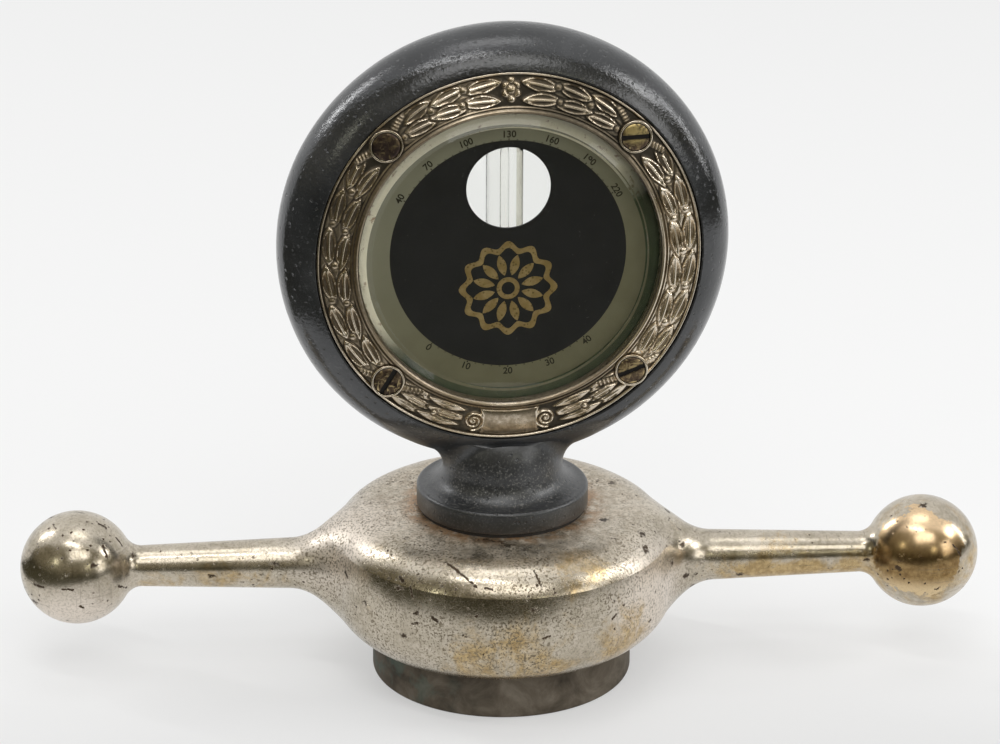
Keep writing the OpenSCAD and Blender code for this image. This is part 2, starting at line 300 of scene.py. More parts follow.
# Those of the balls: side, angle and elevation of both ends, and width
BALL_DENTS = (
    (-1, -66, 65, -46, 63, 0.35),
    (-1, 177, 80, 130, 80, 0.45),
    (-1, 69, 63, 71, 55, 0.7),
    (-1, 71, 40, 71, 31, 0.55),
    (-1, -45, 0, -33, 0, 0.5),
    (-1, -12, 1, -1, 1, 0.4),
    (-1, 49, -5, 63, -13, 0.45),
    (-1, 5, -19, 9, -22, 0.45),
    (-1, 41, 41, 40, 30, 0.6),
    (1, 28, 26, 36, 13, 0.35),
    (1, 7, -21, 12, -18, 0.4),
)


def dents():
    """Both ends and width of each scratch or chip of the cap"""
    for a0, z0, a1, z1, width in DRUM_DENTS:
        yield on_drum(a0, z0), on_drum(a1, z1), width
    for side, a0, e0, a1, e1, width in BALL_DENTS:
        yield on_ball(side, a0, e0), on_ball(side, a1, e1), width


# Materials


def put(tree, socket, value):
    """Links a socket, or sets the value that it has by itself"""
    if isinstance(value, bpy.types.NodeSocket):
        tree.links.new(value, socket)
    elif socket.type == "RGBA":
        socket.default_value = (*value, 1.0)
    else:
        socket.default_value = value


def add_node(tree, kind, inputs=None, **settings):
    """A new shader node with these settings, and these inputs linked or set"""
    node = tree.nodes.new("ShaderNode" + kind)
    for key, value in settings.items():
        setattr(node, key, value)
    for key, value in (inputs or {}).items():
        put(tree, node.inputs[key], value)
    return node


class Mat:
    """A material's nodes. Sizes and places given to it are in millimetres, coordinates are in metres"""

    def __init__(self, name):
        self.mat = bpy.data.materials.new(name)
        self.mat.use_nodes = True
        self.tree = self.mat.node_tree
        self.tree.nodes.clear()
        self.bsdf = self.node("BsdfPrincipled")
        self.out = self.node("OutputMaterial")
        self.show(self.bsdf)
        self.coord = self.node("TexCoord").outputs["Object"]
        self.bumped = None

    def node(self, kind, inputs=None, **settings):
        return add_node(self.tree, kind, inputs, **settings)

    def set(self, **values):
        """Inputs of the surface shader"""
        for key, value in values.items():
            put(self.tree, self.bsdf.inputs[key.replace("_", " ")], value)

    def show(self, shader):
        put(self.tree, self.out.inputs["Surface"], shader.outputs[0])

    def shade(self, fac, a, b):
        """Two shaders mixed"""
        return self.node("MixShader", {0: fac, 1: a.outputs[0], 2: b.outputs[0]})

    def math(self, op, a, b=0.0, clamp=False):
        return self.node("Math", {0: a, 1: b}, operation=op, use_clamp=clamp).outputs[0]

    def times(self, a, b, clamp=False):
        return self.math("MULTIPLY", a, b, clamp)

    def minus(self, a, b):
        return self.math("SUBTRACT", a, b)

    def plus(self, total, *more):
        for value in more:
            total = self.math("ADD", total, value)
        return total

    def most(self, best, *more):
        """The greatest of these"""
        for value in more:
            best = self.math("MAXIMUM", best, value)
        return best

    def vector(self, op, a, b):
        return self.node("VectorMath", {0: a, 1: b}, operation=op).outputs

    def stretch(self, x, y, z):
        """The object's coordinates scaled by axis"""
        return self.vector("MULTIPLY", self.coord, (x, y, z))[0]

    def axis(self, which):
        """One of the object's coordinates"""
        return self.node("SeparateXYZ", {0: self.coord}).outputs[which]

    def near(self, x, y, z):
        """Distance from a point"""
        return self.vector("DISTANCE", self.coord, (x * MM, y * MM, z * MM))["Value"]

    def stroke(self, start, end):
        """Distance from a straight line between two points"""
        a = np.array(start) * MM
        way = np.array(end) * MM - a
        off = self.vector("SUBTRACT", self.coord, tuple(a))[0]
        along = self.vector("DOT_PRODUCT", off, tuple(way))["Value"]
        along = self.math("DIVIDE", along, float(way @ way), clamp=True)
        foot = self.node("VectorMath", {0: tuple(way), "Scale": along}, operation="SCALE")
        return self.vector("DISTANCE", off, foot.outputs[0])["Value"]

    def radius(self):
        """Distance from the cap's axis"""
        return self.vector("DISTANCE", self.stretch(1, 1, 0), (0, 0, 0))["Value"]

    def depth(self):
        """Distance from the middle of the meter towards its front or rear"""
        out = (math.sin(TURN), -math.cos(TURN), 0.0)
        return self.math("ABSOLUTE", self.vector("DOT_PRODUCT", self.coord, out)["Value"])

    def noise(self, size, detail=4.0, rough=0.55, warp=0.0, at=None):
        inputs = {"Vector": at or self.coord, "Scale": 1000.0 / size}
        inputs.update({"Detail": detail, "Roughness": rough, "Distortion": warp})
        return self.node("TexNoise", inputs).outputs["Fac"]

    def sway(self, amount, *noise):
        """Noise about zero, times this amount"""
        return self.times(self.minus(self.noise(*noise), 0.5), amount)

    def cells(self, size, at=None):
        """Distance from the nearest of scattered points"""
        inputs = {"Vector": at or self.coord, "Scale": 1000.0 / size}
        return self.node("TexVoronoi", inputs).outputs["Distance"]

    def ramp(self, fac, *stops):
        """A colour ramp from (place, colour) pairs"""
        node = self.node("ValToRGB", {0: fac})
        elements = node.color_ramp.elements
        while len(elements) < len(stops):
            elements.new(0.5)
        for element, (place, colour) in zip(elements, stops):
            element.position = place
            element.color = (*colour, 1.0)
        return node.outputs[0]

    def span(self, value, low, high):
        """0 to 1 as a value goes from low to high, smoothly"""
        inputs = {"Value": value, "From Min": low, "From Max": high}
        return self.node("MapRange", inputs, interpolation_type="SMOOTHSTEP").outputs["Result"]

    def spot(self, x, y, z, far, close):
        """1 round a point, out to close, and 0 from far on"""
        return self.span(self.near(x, y, z), far * MM, close * MM)

    def mix(self, fac, a, b):
        """A colour that goes from a to b with fac"""
        return self.node("Mix", {0: fac, 6: a, 7: b}, data_type="RGBA").outputs[2]

    def level(self, fac, a, b):
        """A number that goes from a to b with fac"""
        return self.node("Mix", {0: fac, 2: a, 3: b}).outputs[0]

    def bump(self, height, depth, strength):
        """Adds surface relief of this depth"""
        inputs = {"Strength": strength, "Distance": depth * MM, "Height": height}
        if self.bumped is not None:
            inputs["Normal"] = self.bumped
        self.bumped = self.node("Bump", inputs).outputs["Normal"]
        self.set(Normal=self.bumped)


def plate_wear(m, x, z):
    """How far the plate is worn through to the brass, and the bare patch on the right ball's front"""
    reach = m.math("ABSOLUTE", x)
    arm = m.times(m.span(reach, 0.042, 0.052), m.span(reach, 0.08, 0.075))
    arm = m.times(arm, m.span(z, 0.0275, 0.0225))
    bare = m.most(
        m.times(m.span(x, 0.035, 0.06), m.level(m.span(z, 0.0255, 0.0285), 0.19, 0.07)),
        m.times(m.spot(0, -36, 14, 20, 6), 0.26),
        m.times(m.spot(24, -28, 17, 13, 4), 0.25),
        m.times(m.spot(14, -29, 35, 11, 3), 0.23),
        m.times(arm, m.level(m.span(x, -0.01, 0.01), 0.17, 0.34)),
    )
    worn = m.times(m.span(m.plus(bare, m.noise(7, 8, 0.72, 0.5)), 0.58, 0.84), 0.85)
    edge = m.plus(m.near(88.2, -10.9, 28.3), m.sway(0.012, 5, 7, 0.7))
    patch = m.span(edge, 0.0106, 0.0102)
    return m.most(worn, m.times(patch, 0.92)), patch


def bare_brass(m, fine, z, patch):
    """Brass under the plate, darker on the bare patch, with a painted highlight on its top and a painted
    reflection of the floor on its underside
    """
    grain = m.span(fine, 0.3, 0.7)
    ball = m.mix(grain, (0.19, 0.105, 0.032), (0.38, 0.25, 0.095))
    colour = m.mix(patch, m.mix(grain, (0.34, 0.22, 0.08), (0.62, 0.455, 0.215)), ball)
    # Painted highlight: the bare patch is paler on its top
    colour = m.mix(m.times(m.span(z, 0.027, 0.033), patch), colour, (0.8, 0.58, 0.35))
    # Painted reflection of the floor: the bare patch is paler on its underside
    return m.mix(m.times(m.span(z, 0.0235, 0.0195), patch), colour, (0.72, 0.55, 0.32))


def plate_grain(m, x):
    """Fine dark grain, thickest on the drum and to the left"""
    where = m.span(m.plus(m.noise(11, 5, 0.6), m.times(x, -2.2)), 0.36, 0.6)
    drum = m.span(m.math("ABSOLUTE", x), 0.056, 0.036)
    grain = m.times(m.span(m.noise(0.48, 3, 0.6), 0.5, 0.61), m.level(where, 0.38, 1.0))
    return m.times(grain, m.level(drum, 0.3, 1.0))


def plate_pits(m):
    """Pits in clusters, a few larger ones, and the scratches and chips that stand out"""
    cluster = m.span(m.noise(10, 3, 0.5), 0.5, 0.6)
    small = m.plus(m.cells(1.7), m.times(m.noise(0.6, 4, 0.75), 0.6))
    small = m.times(m.span(small, 0.49, 0.41), m.level(cluster, 0.2, 1.0))
    large = m.plus(m.cells(5.5, m.stretch(0.75, 0.75, 1.3)), m.times(m.noise(0.8, 5, 0.8), 0.6))
    pits = m.most(small, m.span(large, 0.44, 0.38))
    ragged = m.sway(1.4 * MM, 0.7, 4, 0.7)
    for start, end, width in dents():
        gap = m.plus(m.stroke(start, end), ragged)
        pits = m.most(pits, m.span(gap, 0.62 * width * MM, 0.42 * width * MM))
    return pits


def worn_nickel():
    m = Mat("worn_nickel")
    x = m.axis("X")
    z = m.axis("Z")
    r = m.radius()
    blotch = m.noise(13, 6, 0.62, 0.4)
    fine = m.noise(1.4, 6, 0.68)
    plate = m.ramp(
        blotch,
        (0.3, (0.36, 0.315, 0.235)),
        (0.5, (0.51, 0.455, 0.36)),
        (0.72, (0.68, 0.615, 0.515)),
    )
    plate = m.mix(m.times(m.span(fine, 0.4, 0.66), 0.4), plate, (0.74, 0.66, 0.56))
    # Painted sheen: pale patches on the left shoulder, to the right and low on the left ball, where the plate
    # shows bright reflections
    painted_sheen = m.most(
        m.spot(-34, -6, 34, 17, 6),
        m.spot(30, -20, 22, 18, 7),
        m.spot(-91, -9, 15, 13, 5),
    )
    plate = m.mix(m.times(painted_sheen, 0.75), plate, (0.82, 0.735, 0.65))
    worn, patch = plate_wear(m, x, z)
    colour = m.mix(worn, plate, bare_brass(m, fine, z, patch))
    # Dull brown film on the flat top, and rust round the foot
    top = m.times(m.span(z, 0.0335, 0.0366), m.span(r, 0.04, 0.018))
    film = m.times(top, m.span(m.noise(5, 7, 0.75), 0.25, 0.62), clamp=True)
    stain = m.mix(m.span(fine, 0.3, 0.66), (0.32, 0.235, 0.15), (0.78, 0.69, 0.565))
    colour = m.mix(m.times(film, 0.8), colour, stain)
    ring = m.times(m.span(r, 0.0235, 0.0185), m.span(z, 0.036, 0.037))
    rust = m.times(ring, m.span(m.noise(3.5, 5, 0.7), 0.36, 0.56))
    colour = m.mix(m.times(rust, 0.8), colour, (0.34, 0.17, 0.06))
    grain = plate_grain(m, x)
    colour = m.mix(grain, colour, m.mix(m.noise(3), (0.13, 0.11, 0.075), (0.27, 0.22, 0.15)))
    pits = plate_pits(m)
    colour = m.mix(pits, colour, m.mix(m.noise(4), (0.02, 0.016, 0.011), (0.1, 0.06, 0.03)))
    # Hairline scratches both ways
    level = m.noise(1.0, 2, 0.5, 0.0, m.stretch(0.07, 0.07, 1.6))
    upright = m.noise(0.9, 2, 0.5, 0.0, m.stretch(1.5, 0.2, 0.1))
    lines = m.most(m.span(level, 0.64, 0.7), m.span(upright, 0.66, 0.72))
    colour = m.mix(m.times(lines, 0.3), colour, (0.2, 0.165, 0.125))
    dull = m.most(m.times(film, 0.6), m.times(pits, 0.5), m.times(painted_sheen, 0.3))
    gloss = m.level(m.span(blotch, 0.3, 0.7), 0.18, 0.29)
    m.set(
        Base_Color=colour,
        Metallic=m.level(dull, 1.0, 0.25),
        Roughness=m.level(m.most(dull, m.times(grain, 0.25)), gloss, 0.6),
    )
    m.bump(m.noise(2.2, 5, 0.6), 0.045, 0.5)
    m.bump(m.minus(1.0, m.most(pits, m.times(grain, 0.15))), 0.1, 0.7)
    return m.mat


def dark_collar():
    """Dark oxidised brass with turning marks, a little green to the left"""
    m = Mat("dark_collar")
    blotch = m.noise(8, 6, 0.65, 0.5)
    colour = m.ramp(
        blotch,
        (0.3, (0.045, 0.037, 0.028)),
        (0.52, (0.11, 0.092, 0.07)),
        (0.75, (0.19, 0.165, 0.132)),
    )
    green = m.times(m.span(m.axis("X"), -0.004, -0.026), m.span(m.noise(5, 4), 0.45, 0.6))
    colour = m.mix(m.times(green, 0.4), colour, (0.09, 0.15, 0.13))
    m.set(Base_Color=colour, Metallic=0.1, Roughness=m.level(blotch, 0.5, 0.66), Specular_IOR_Level=0.06)
    m.bump(m.noise(0.5, 2, 0.5, 0.0, m.stretch(0.03, 0.03, 1.0)), 0.02, 0.6)
    m.bump(m.noise(0.9, 5, 0.65), 0.04, 0.5)
    return m.mat


def black_casting():
    m = Mat("black_casting")
    z = m.axis("Z")
    blotch = m.noise(11, 6, 0.6, 0.3)
    colour = m.ramp(
        blotch,
        (0.3, (0.014, 0.015, 0.016)),
        (0.55, (0.028, 0.0295, 0.0315)),
        (0.8, (0.055, 0.057, 0.06)),
    )
    # Dust and bare grey on the foot and its flare
    flare = m.times(m.span(z, 0.056, 0.047), m.level(m.span(z, 0.0415, 0.0435), 0.3, 1.0))
    dust = m.times(flare, m.span(m.noise(0.5, 5, 0.75), 0.52, 0.66))
    colour = m.mix(m.times(dust, 0.6), colour, (0.3, 0.29, 0.26))
    speck = m.span(m.noise(0.7, 4, 0.7), 0.56, 0.68)
    colour = m.mix(m.times(speck, 0.3), colour, (0.12, 0.12, 0.122))
    gloss = m.level(m.span(blotch, 0.3, 0.7), 0.09, 0.16)
    gloss = m.level(m.span(z, 0.062, 0.054), gloss, 0.34)
    m.set(Base_Color=colour, Metallic=0.3, IOR=1.82, Roughness=m.level(dust, gloss, 0.65))
    # Rough skin of the casting, roughest round the top of the ring, with a few pits
    where = m.plus(m.times(m.span(z, 0.1, 0.13), 0.3), m.noise(12, 4, 0.6))
    skin = m.times(m.noise(0.75, 3, 0.65), m.level(m.span(where, 0.45, 0.75), 0.45, 1.0))
    pits = m.plus(m.cells(1.8), m.times(m.noise(0.5, 3, 0.6), 0.4))
    m.bump(m.noise(2.6, 3, 0.55), 0.08, 0.5)
    m.bump(skin, 0.085, 0.9)
    m.bump(m.span(pits, 0.24, 0.42), 0.13, 0.9)
    return m.mat


def aged_bezel():
    """Aged bronze, brightest where it stands out of its ground"""
    m = Mat("aged_bezel")
    x = m.axis("X")
    # Paler to the right, painted light as if lit from there, with two dark places and a pale one
    place = m.plus(m.sway(0.7, 17, 3), m.level(m.span(x, -0.036, 0.038), -0.17, 0.3))
    patches = (
        m.level(m.spot(23, -9, 124, 26, 12), 0.0, -0.48),
        m.level(m.spot(15, -9, 64, 14, 7), 0.0, -0.28),
        m.level(m.spot(-31, -12, 78, 14, 6), 0.0, 0.15),
    )
    place = m.plus(place, m.plus(*patches))
    # The bottom panel is worn in blotches
    panel = m.times(m.spot(0.8, -10.5, DIAL_Z - SCREW_REACH, 8.5, 6), m.sway(1.0, 2.4, 5, 0.7))
    # Painted light: the relief's tones spread wider towards the right, as under raking light from there
    painted_raking_contrast = m.level(m.span(x, -0.02, 0.036), 1.0, 1.45)
    height = m.node("Attribute", attribute_name="height").outputs["Fac"]
    height = m.plus(m.times(m.minus(height, 0.4), painted_raking_contrast), 0.4)
    high = m.plus(height, m.plus(m.sway(0.5, 0.8, 5, 0.68), panel, place))
    colour = m.ramp(
        high,
        (0.0, (0.044, 0.036, 0.024)),
        (0.26, (0.16, 0.131, 0.09)),
        (0.52, (0.4, 0.33, 0.24)),
        (0.9, (0.84, 0.745, 0.61)),
    )
    gold = m.times(m.span(m.noise(7, 4), 0.48, 0.66), m.span(high, 0.3, 0.8))
    m.set(
        Base_Color=m.mix(m.times(gold, 0.5), colour, (0.36, 0.27, 0.14)),
        Metallic=m.level(m.span(high, 0.1, 0.5), 0.6, 1.0),
        Roughness=m.level(m.span(high, 0.1, 0.7), 0.5, 0.26),
    )
    m.bump(m.noise(0.5, 4, 0.6), 0.03, 0.5)
    return m.mat


def brass(name, dark, bright, rough=0.34):
    m = Mat(name)
    blotch = m.noise(3.2, 6, 0.65, 0.4)
    spots = m.span(m.cells(0.9), 0.3, 0.2)
    colour = m.mix(m.span(blotch, 0.35, 0.7), dark, bright)
    colour = m.mix(m.times(spots, 0.6), colour, tuple(0.3 * v for v in dark))
    m.set(Base_Color=colour, Metallic=0.95, Roughness=m.level(blotch, rough + 0.18, rough - 0.06))
    m.bump(m.noise(0.6, 4, 0.6), 0.03, 0.5)
    return m.mat


def screw_metal():
    """Dark stained brass with golden scratches, one screw corroded black and one clean"""
    m = Mat("screw_brass")
    blotch = m.noise(1.7, 6, 0.7, 0.4)
    colour = m.ramp(
        blotch,
        (0.36, (0.035, 0.025, 0.021)),
        (0.54, (0.14, 0.1, 0.068)),
        (0.7, (0.5, 0.38, 0.19)),
    )
    level = m.noise(0.6, 3, 0.5, 0.4, m.stretch(0.25, 1.0, 1.0))
    upright = m.noise(0.6, 3, 0.5, 0.4, m.stretch(1.0, 1.0, 0.3))
    lines = m.most(m.span(level, 0.58, 0.66), m.span(upright, 0.6, 0.68))
    colour = m.mix(m.times(lines, 0.75), colour, (0.68, 0.54, 0.28))
    black = m.spot(-24.6, -13.2, 122.1, 6.5, 4.5)
    colour = m.mix(m.times(black, 0.55), colour, (0.045, 0.03, 0.034))
    clean = m.times(m.spot(26.4, -9.2, 123.4, 3.4, 1.4), m.span(blotch, 0.36, 0.56))
    colour = m.mix(clean, colour, (0.78, 0.62, 0.28))
    # Dirt and painted shade: dark and dull deep in the slots
    slot_dirt_and_shade = m.span(m.depth(), 0.01108, 0.01085)
    m.set(
        Base_Color=m.mix(slot_dirt_and_shade, colour, (0.01, 0.008, 0.007)),
        Metallic=m.level(slot_dirt_and_shade, 0.95, 0.0),
        Roughness=m.level(slot_dirt_and_shade, m.level(blotch, 0.5, 0.3), 0.8),
    )
    m.bump(m.noise(0.7, 5, 0.7), 0.1, 0.7)
    return m.mat


def rubber(name, dark, pale):
    m = Mat(name)
    m.set(Base_Color=m.mix(m.noise(1.6, 5, 0.65), dark, pale), Roughness=m.level(m.noise(0.9), 0.6, 0.85))
    m.bump(m.noise(0.45, 4), 0.04, 0.6)
    return m.mat


def clear_glass(name, ior, tint, strip=None):
    """Clear glass that lets lamps light what is behind it, stained from a place along X on if one is given"""
    m = Mat(name)
    colour = tint
    if strip:
        streaks = m.noise(1.2, 3, 0.6, 0.0, m.stretch(1.0, 1.0, 0.3))
        stain = m.mix(streaks, (0.3, 0.28, 0.2), (0.68, 0.66, 0.55))
        colour = m.mix(m.span(m.axis("X"), strip * MM, (strip + 0.25) * MM), tint, stain)
    m.set(Base_Color=colour, Roughness=0.0, IOR=ior, Transmission_Weight=1.0)
    shadow = m.node("LightPath").outputs["Is Shadow Ray"]
    m.show(m.shade(shadow, m.bsdf, m.node("BsdfTransparent", {0: tint})))
    return m.mat


def pale_card():
    """Pale spacer card, rusty in places, with painted shade: dark green-black low down and to the right"""
    m = Mat("pale_card")
    fine = m.noise(1.2, 5, 0.65)
    colour = m.mix(fine, (0.72, 0.67, 0.51), (0.88, 0.84, 0.68))
    rim = m.times(m.span(m.near(0, 0, DIAL_Z), 0.0305, 0.0335), 0.09)
    rust = m.span(m.plus(m.noise(2.2, 6, 0.72), rim), 0.57, 0.66)
    colour = m.mix(m.times(rust, 0.8), colour, (0.25, 0.125, 0.05))
    # Painted shade: dark green-black low down and to the right
    place = m.minus(m.axis("Z"), m.times(m.axis("X"), 0.7))
    painted_shade = m.span(m.plus(place, m.sway(0.012, 8, 4)), 0.103, 0.088)
    painted_shade_colour = m.mix(m.noise(3.0, 4), (0.012, 0.02, 0.008), (0.05, 0.07, 0.028))
    m.set(Base_Color=m.mix(painted_shade, colour, painted_shade_colour), Roughness=0.75)
    m.bump(fine, 0.03, 0.5)
    return m.mat


def dial_paint(name, dark, pale, rough=0.5, painted_light_colour=None):
    """Matt print with specks and lint, paler towards its upper left as painted light if a colour for that is
    given
    """
    m = Mat(name)
    colour = m.mix(m.noise(6, 5, 0.6), dark, pale)
    if painted_light_colour:
        # Painted light: paler towards the upper left
        place = m.minus(m.axis("Z"), m.times(m.axis("X"), 0.6))
        colour = m.mix(m.times(m.span(place, 0.075, 0.125), 0.6), colour, painted_light_colour)
    speck = m.span(m.noise(0.8, 5, 0.7), 0.64, 0.72)
    colour = m.mix(m.times(speck, 0.12), colour, (0.12, 0.09, 0.05))
    lint = m.span(m.noise(0.5, 3, 0.7), 0.69, 0.74)
    colour = m.mix(m.times(lint, 0.5), colour, (0.2, 0.2, 0.19))
    m.set(Base_Color=colour, Roughness=m.level(m.noise(4), rough, rough + 0.15), Specular_IOR_Level=0.12)
    return m.mat


def red_spirit():
    m = Mat("red_spirit")
    m.set(Base_Color=m.mix(m.noise(3), (0.4, 0.012, 0.012), (0.55, 0.03, 0.025)), Roughness=0.12)
    return m.mat


def cork():
    m = Mat("cork")
    grain = m.cells(0.9)
    m.set(Base_Color=m.ramp(grain, (0.1, (0.17, 0.09, 0.04)), (0.5, (0.42, 0.26, 0.13))), Roughness=0.85)
    m.bump(grain, 0.08, 0.6)
    return m.mat


NICKEL = worn_nickel()
COLLAR = dark_collar()
CASTING = black_casting()
BEZEL = aged_bezel()
SCREW = screw_metal()
BRASS = brass("plain_brass", (0.3, 0.2, 0.08), (0.58, 0.42, 0.19))
RUBBER = rubber("black_rubber", (0.008, 0.008, 0.008), (0.03, 0.026, 0.022))
LEATHER = rubber("neck_seal", (0.05, 0.028, 0.015), (0.12, 0.07, 0.04))
PANE = clear_glass("pane_glass", 1.4, (0.99, 0.995, 0.982))
TUBE = clear_glass("tube_glass", 1.3, (0.98, 0.98, 0.965), 2.1)
CARD = pale_card()
DIAL = dial_paint("dial_black", (0.0095, 0.0098, 0.0112), (0.0185, 0.019, 0.0205))
OLIVE = dial_paint("dial_olive", (0.118, 0.11, 0.066), (0.18, 0.17, 0.108), 0.45, (0.285, 0.28, 0.21))
INK = dial_paint("dial_ink", (0.012, 0.011, 0.008), (0.03, 0.027, 0.018))
GOLD = brass("dial_gold", (0.36, 0.255, 0.1), (0.52, 0.39, 0.18), 0.45)
SPIRIT = red_spirit()
CORK = cork()


# Cap: drum, arms and balls

ARM_ROOT_X = 35.1
ARM_ROOT_R = 5.8
ARM_END_X = 77.27
ARM_END_R = 4.4
BALL_FILLET = 4.0
STEM_HOLE_R = 6.6


def arm_radius(x):
    return ARM_ROOT_R - (x - ARM_ROOT_X) * (ARM_ROOT_R - ARM_END_R) / (ARM_END_X - ARM_ROOT_X)


def cap_field(p):
    """Distance from the surface of drum and arm blended together, for the arm on +X"""
    edge = np.diff(DRUM, axis=0)
    edge = edge / np.linalg.norm(edge, axis=1)[:, None]
    normal = np.vstack([np.stack([edge[:, 1], -edge[:, 0]], 1), [[0, 1], [0, -1]]])
    offset = np.sum(normal * np.vstack([DRUM[:-1], [[0, CAP_TOP], [0, CAP_LOW]]]), axis=1)
    flat = np.hypot(p[:, 0], p[:, 1])
    drum = np.max(flat[:, None] * normal[:, 0] + p[:, 2:] * normal[:, 1] - offset, axis=1)
    arm = np.hypot(p[:, 1], p[:, 2] - ARM_Z) - arm_radius(p[:, 0])
    return round_union(drum, arm, ROOT_FILLET)


def drum_shell():
    top = [[r, CAP_TOP] for r in (24, 20, 16, 12, 9, STEM_HOLE_R)]
    inner = np.vstack([
        [[STEM_HOLE_R, 32.6]],
        arc(28.5, 28.0, 4.6, 90, 0, 12),
        arc(*BELLY, 6, 0, -90, 12),
        [[25.55, 13.8], [25.55, 10.0], [25.75, CAP_LOW]],
    ])
    return revolve(np.vstack([DRUM, top, inner]), 320)


def arm_shell(sign):
    """Arm and ball, with a skirt that flows into the drum and ends just under its surface"""
    cols = 144
    c, s = around(cols)

    def ring(x, r):
        return np.stack([np.full(cols, x), r * c, ARM_Z + r * s], 1)

    skirt_r = 16
    end_z = np.clip(ARM_Z + skirt_r * s, 11.5, 36.8)
    end_y = skirt_r * c
    end_r = np.interp(end_z, DRUM[:, 1], DRUM[:, 0])
    end = np.stack([np.sqrt(end_r**2 - end_y**2), end_y, end_z], 1)
    core_x = 34.8
    start_x = 48.0
    start = ring(start_x, arm_radius(start_x))
    rows = [ring(core_x, 1e-6), ring(core_x, 6.0), settle(end, cap_field, -0.5)]
    for w in np.linspace(0.03, 1, 46):
        sink = -0.07 * (1 - min(w / 0.3, 1.0)) ** 2
        rows.append(settle(end * (1 - w) + start * w, cap_field, sink))
    rows += [ring(x, arm_radius(x)) for x in np.linspace(start_x + 1, ARM_END_X, 24)]
    # A fillet leads into the ball, and meets it at this angle
    meet = math.degrees(math.atan2(6.31, 80.68 - BALL_X))
    fillet = arc(ARM_END_X, ARM_END_R + BALL_FILLET, BALL_FILLET, -90, meet - 180, 12)
    rows += [ring(x, r) for x, r in fillet[1:]]
    rows += [ring(x, max(r, 1e-6)) for x, r in arc(BALL_X, 0, BALL_R, meet, 0, 64)[1:]]
    points = np.vstack(rows)
    points[:, :2] *= sign
    return points, grid_faces(len(rows), cols, False)


def uneven(points):
    """The casting's uneven skin, everywhere but at the ends of the balls"""
    away = points * np.array([1.0, 1.0, 0.0])
    away /= np.maximum(np.linalg.norm(away, axis=1), 1e-6)[:, None]
    ends = np.clip((100 - np.abs(points[:, :1])) / 8, 0, 1)
    return points - away * ends * (0.05 + wobble(points, 17, 0.05, 3)[:, None])


cap_shells = moved((drum_shell(), arm_shell(1), arm_shell(-1)), uneven)
make("cap_casting", cap_shells, NICKEL, "cap", ("radiator_cap",), weld=True, sharp=45)


# Collar with its thread

COLLAR_R = 27.9
SPIGOT_R = 25.5
THREAD_R = 22.9
THREAD_TOP = 11.0
THREAD_PITCH = 1.8
THREAD_DEPTH = 0.7


def collar_shell():
    """The collar's section, with many rows along its bore, which a screw line then moves inwards"""
    outline = rounded([
        (THREAD_R, 0.0, 0.15), (COLLAR_R, 0.0, 0.6), (COLLAR_R, CAP_LOW, 0.35), (SPIGOT_R, CAP_LOW, 0.0),
        (SPIGOT_R, 16.5, 0.4), (18.0, 16.5, 0.4), (18.0, 13.5, 0.1), (23.0, 13.5, 0.0),
        (23.0, THREAD_TOP, 0.0), (THREAD_R, THREAD_TOP, 0.0),
    ])
    heights = np.linspace(10.98, 0.02, 150)
    bore_path = np.stack([np.full(len(heights), THREAD_R), heights], 1)
    points, faces = revolve(np.vstack([outline, bore_path]), 192)
    z = points[:, 2]
    turn = np.arctan2(points[:, 1], points[:, 0]) / (2 * np.pi)
    lift = 0.5 - 0.5 * np.cos(2 * np.pi * (z / THREAD_PITCH - turn))
    fade = np.clip(z / 1.4, 0, 1) * np.clip((THREAD_TOP - z) / 0.8, 0, 1)
    bore = np.hypot(points[:, 0], points[:, 1])
    inside = (np.abs(bore - THREAD_R) < 0.01) & (z > 0.01) & (z < THREAD_TOP - 0.01)
    scale = np.where(inside, (THREAD_R - THREAD_DEPTH * lift * fade) / np.maximum(bore, 1e-6), 1.0)
    points[:, :2] *= scale[:, None]
    return points, faces


make("collar_turned", [collar_shell()], COLLAR, "cap", ("threaded_collar",), sharp=40)


# Housing: ring, and the neck and foot that flow into it

ARC_C = 36.857
ARC_R = 10.643
RING_HALF = 9.96
BEZEL_SEAT = 7.4
DIAL_SEAT = 5.4
PLATE_R = 33.9
FOOT_R = 18.3
FOOT_LOW = 37.9
FOOT_ROUND = 0.8
NECK_R = 12.8
NECK_TOP = 48
FLARE_R = 4.4
SPIGOT_HOLE_R = 6.42


def ring_path():
    bulge = arc(ARC_C, 0, ARC_R, -69.5, 69.5, 72)
    half = [
        (40.62, RING_HALF, 0.0), (40.3, RING_HALF, 0.08), (40.3, BEZEL_SEAT, 0.0),
        (PLATE_R, BEZEL_SEAT, 0.1), (PLATE_R, DIAL_SEAT, 0.0), (32.4, DIAL_SEAT, 0.1),
    ]
    other = [(r, -depth, fillet) for r, depth, fillet in half[::-1]]
    return np.vstack([bulge, rounded(half + other, 3)])


def neck_field(p):
    """Distance from the surface of foot, neck and ring blended together, in the meter's own frame"""
    u = p[:, 0]
    d = p[:, 1]
    z = p[:, 2]
    flat = np.hypot(u, d)
    neck = np.where(z > NECK_TOP, np.sqrt(flat**2 + (z - NECK_TOP) ** 2), flat) - NECK_R
    qr = flat - FOOT_R + FOOT_ROUND
    qz = np.abs(z - 39.85) - 2.75 + FOOT_ROUND
    corner = np.hypot(np.maximum(qr, 0), np.maximum(qz, 0))
    foot = np.minimum(np.maximum(qr, qz), 0) + corner - FOOT_ROUND
    low = round_union(foot, neck, FLARE_R)
    rho = np.hypot(u, z - DIAL_Z)
    ring = np.maximum(np.hypot(rho - ARC_C, d) - ARC_R, np.abs(d) - RING_HALF)
    blend = 0.5 + 3.2 * u * u / np.maximum(flat * flat, 1e-9)
    return round_union(low, ring, blend)


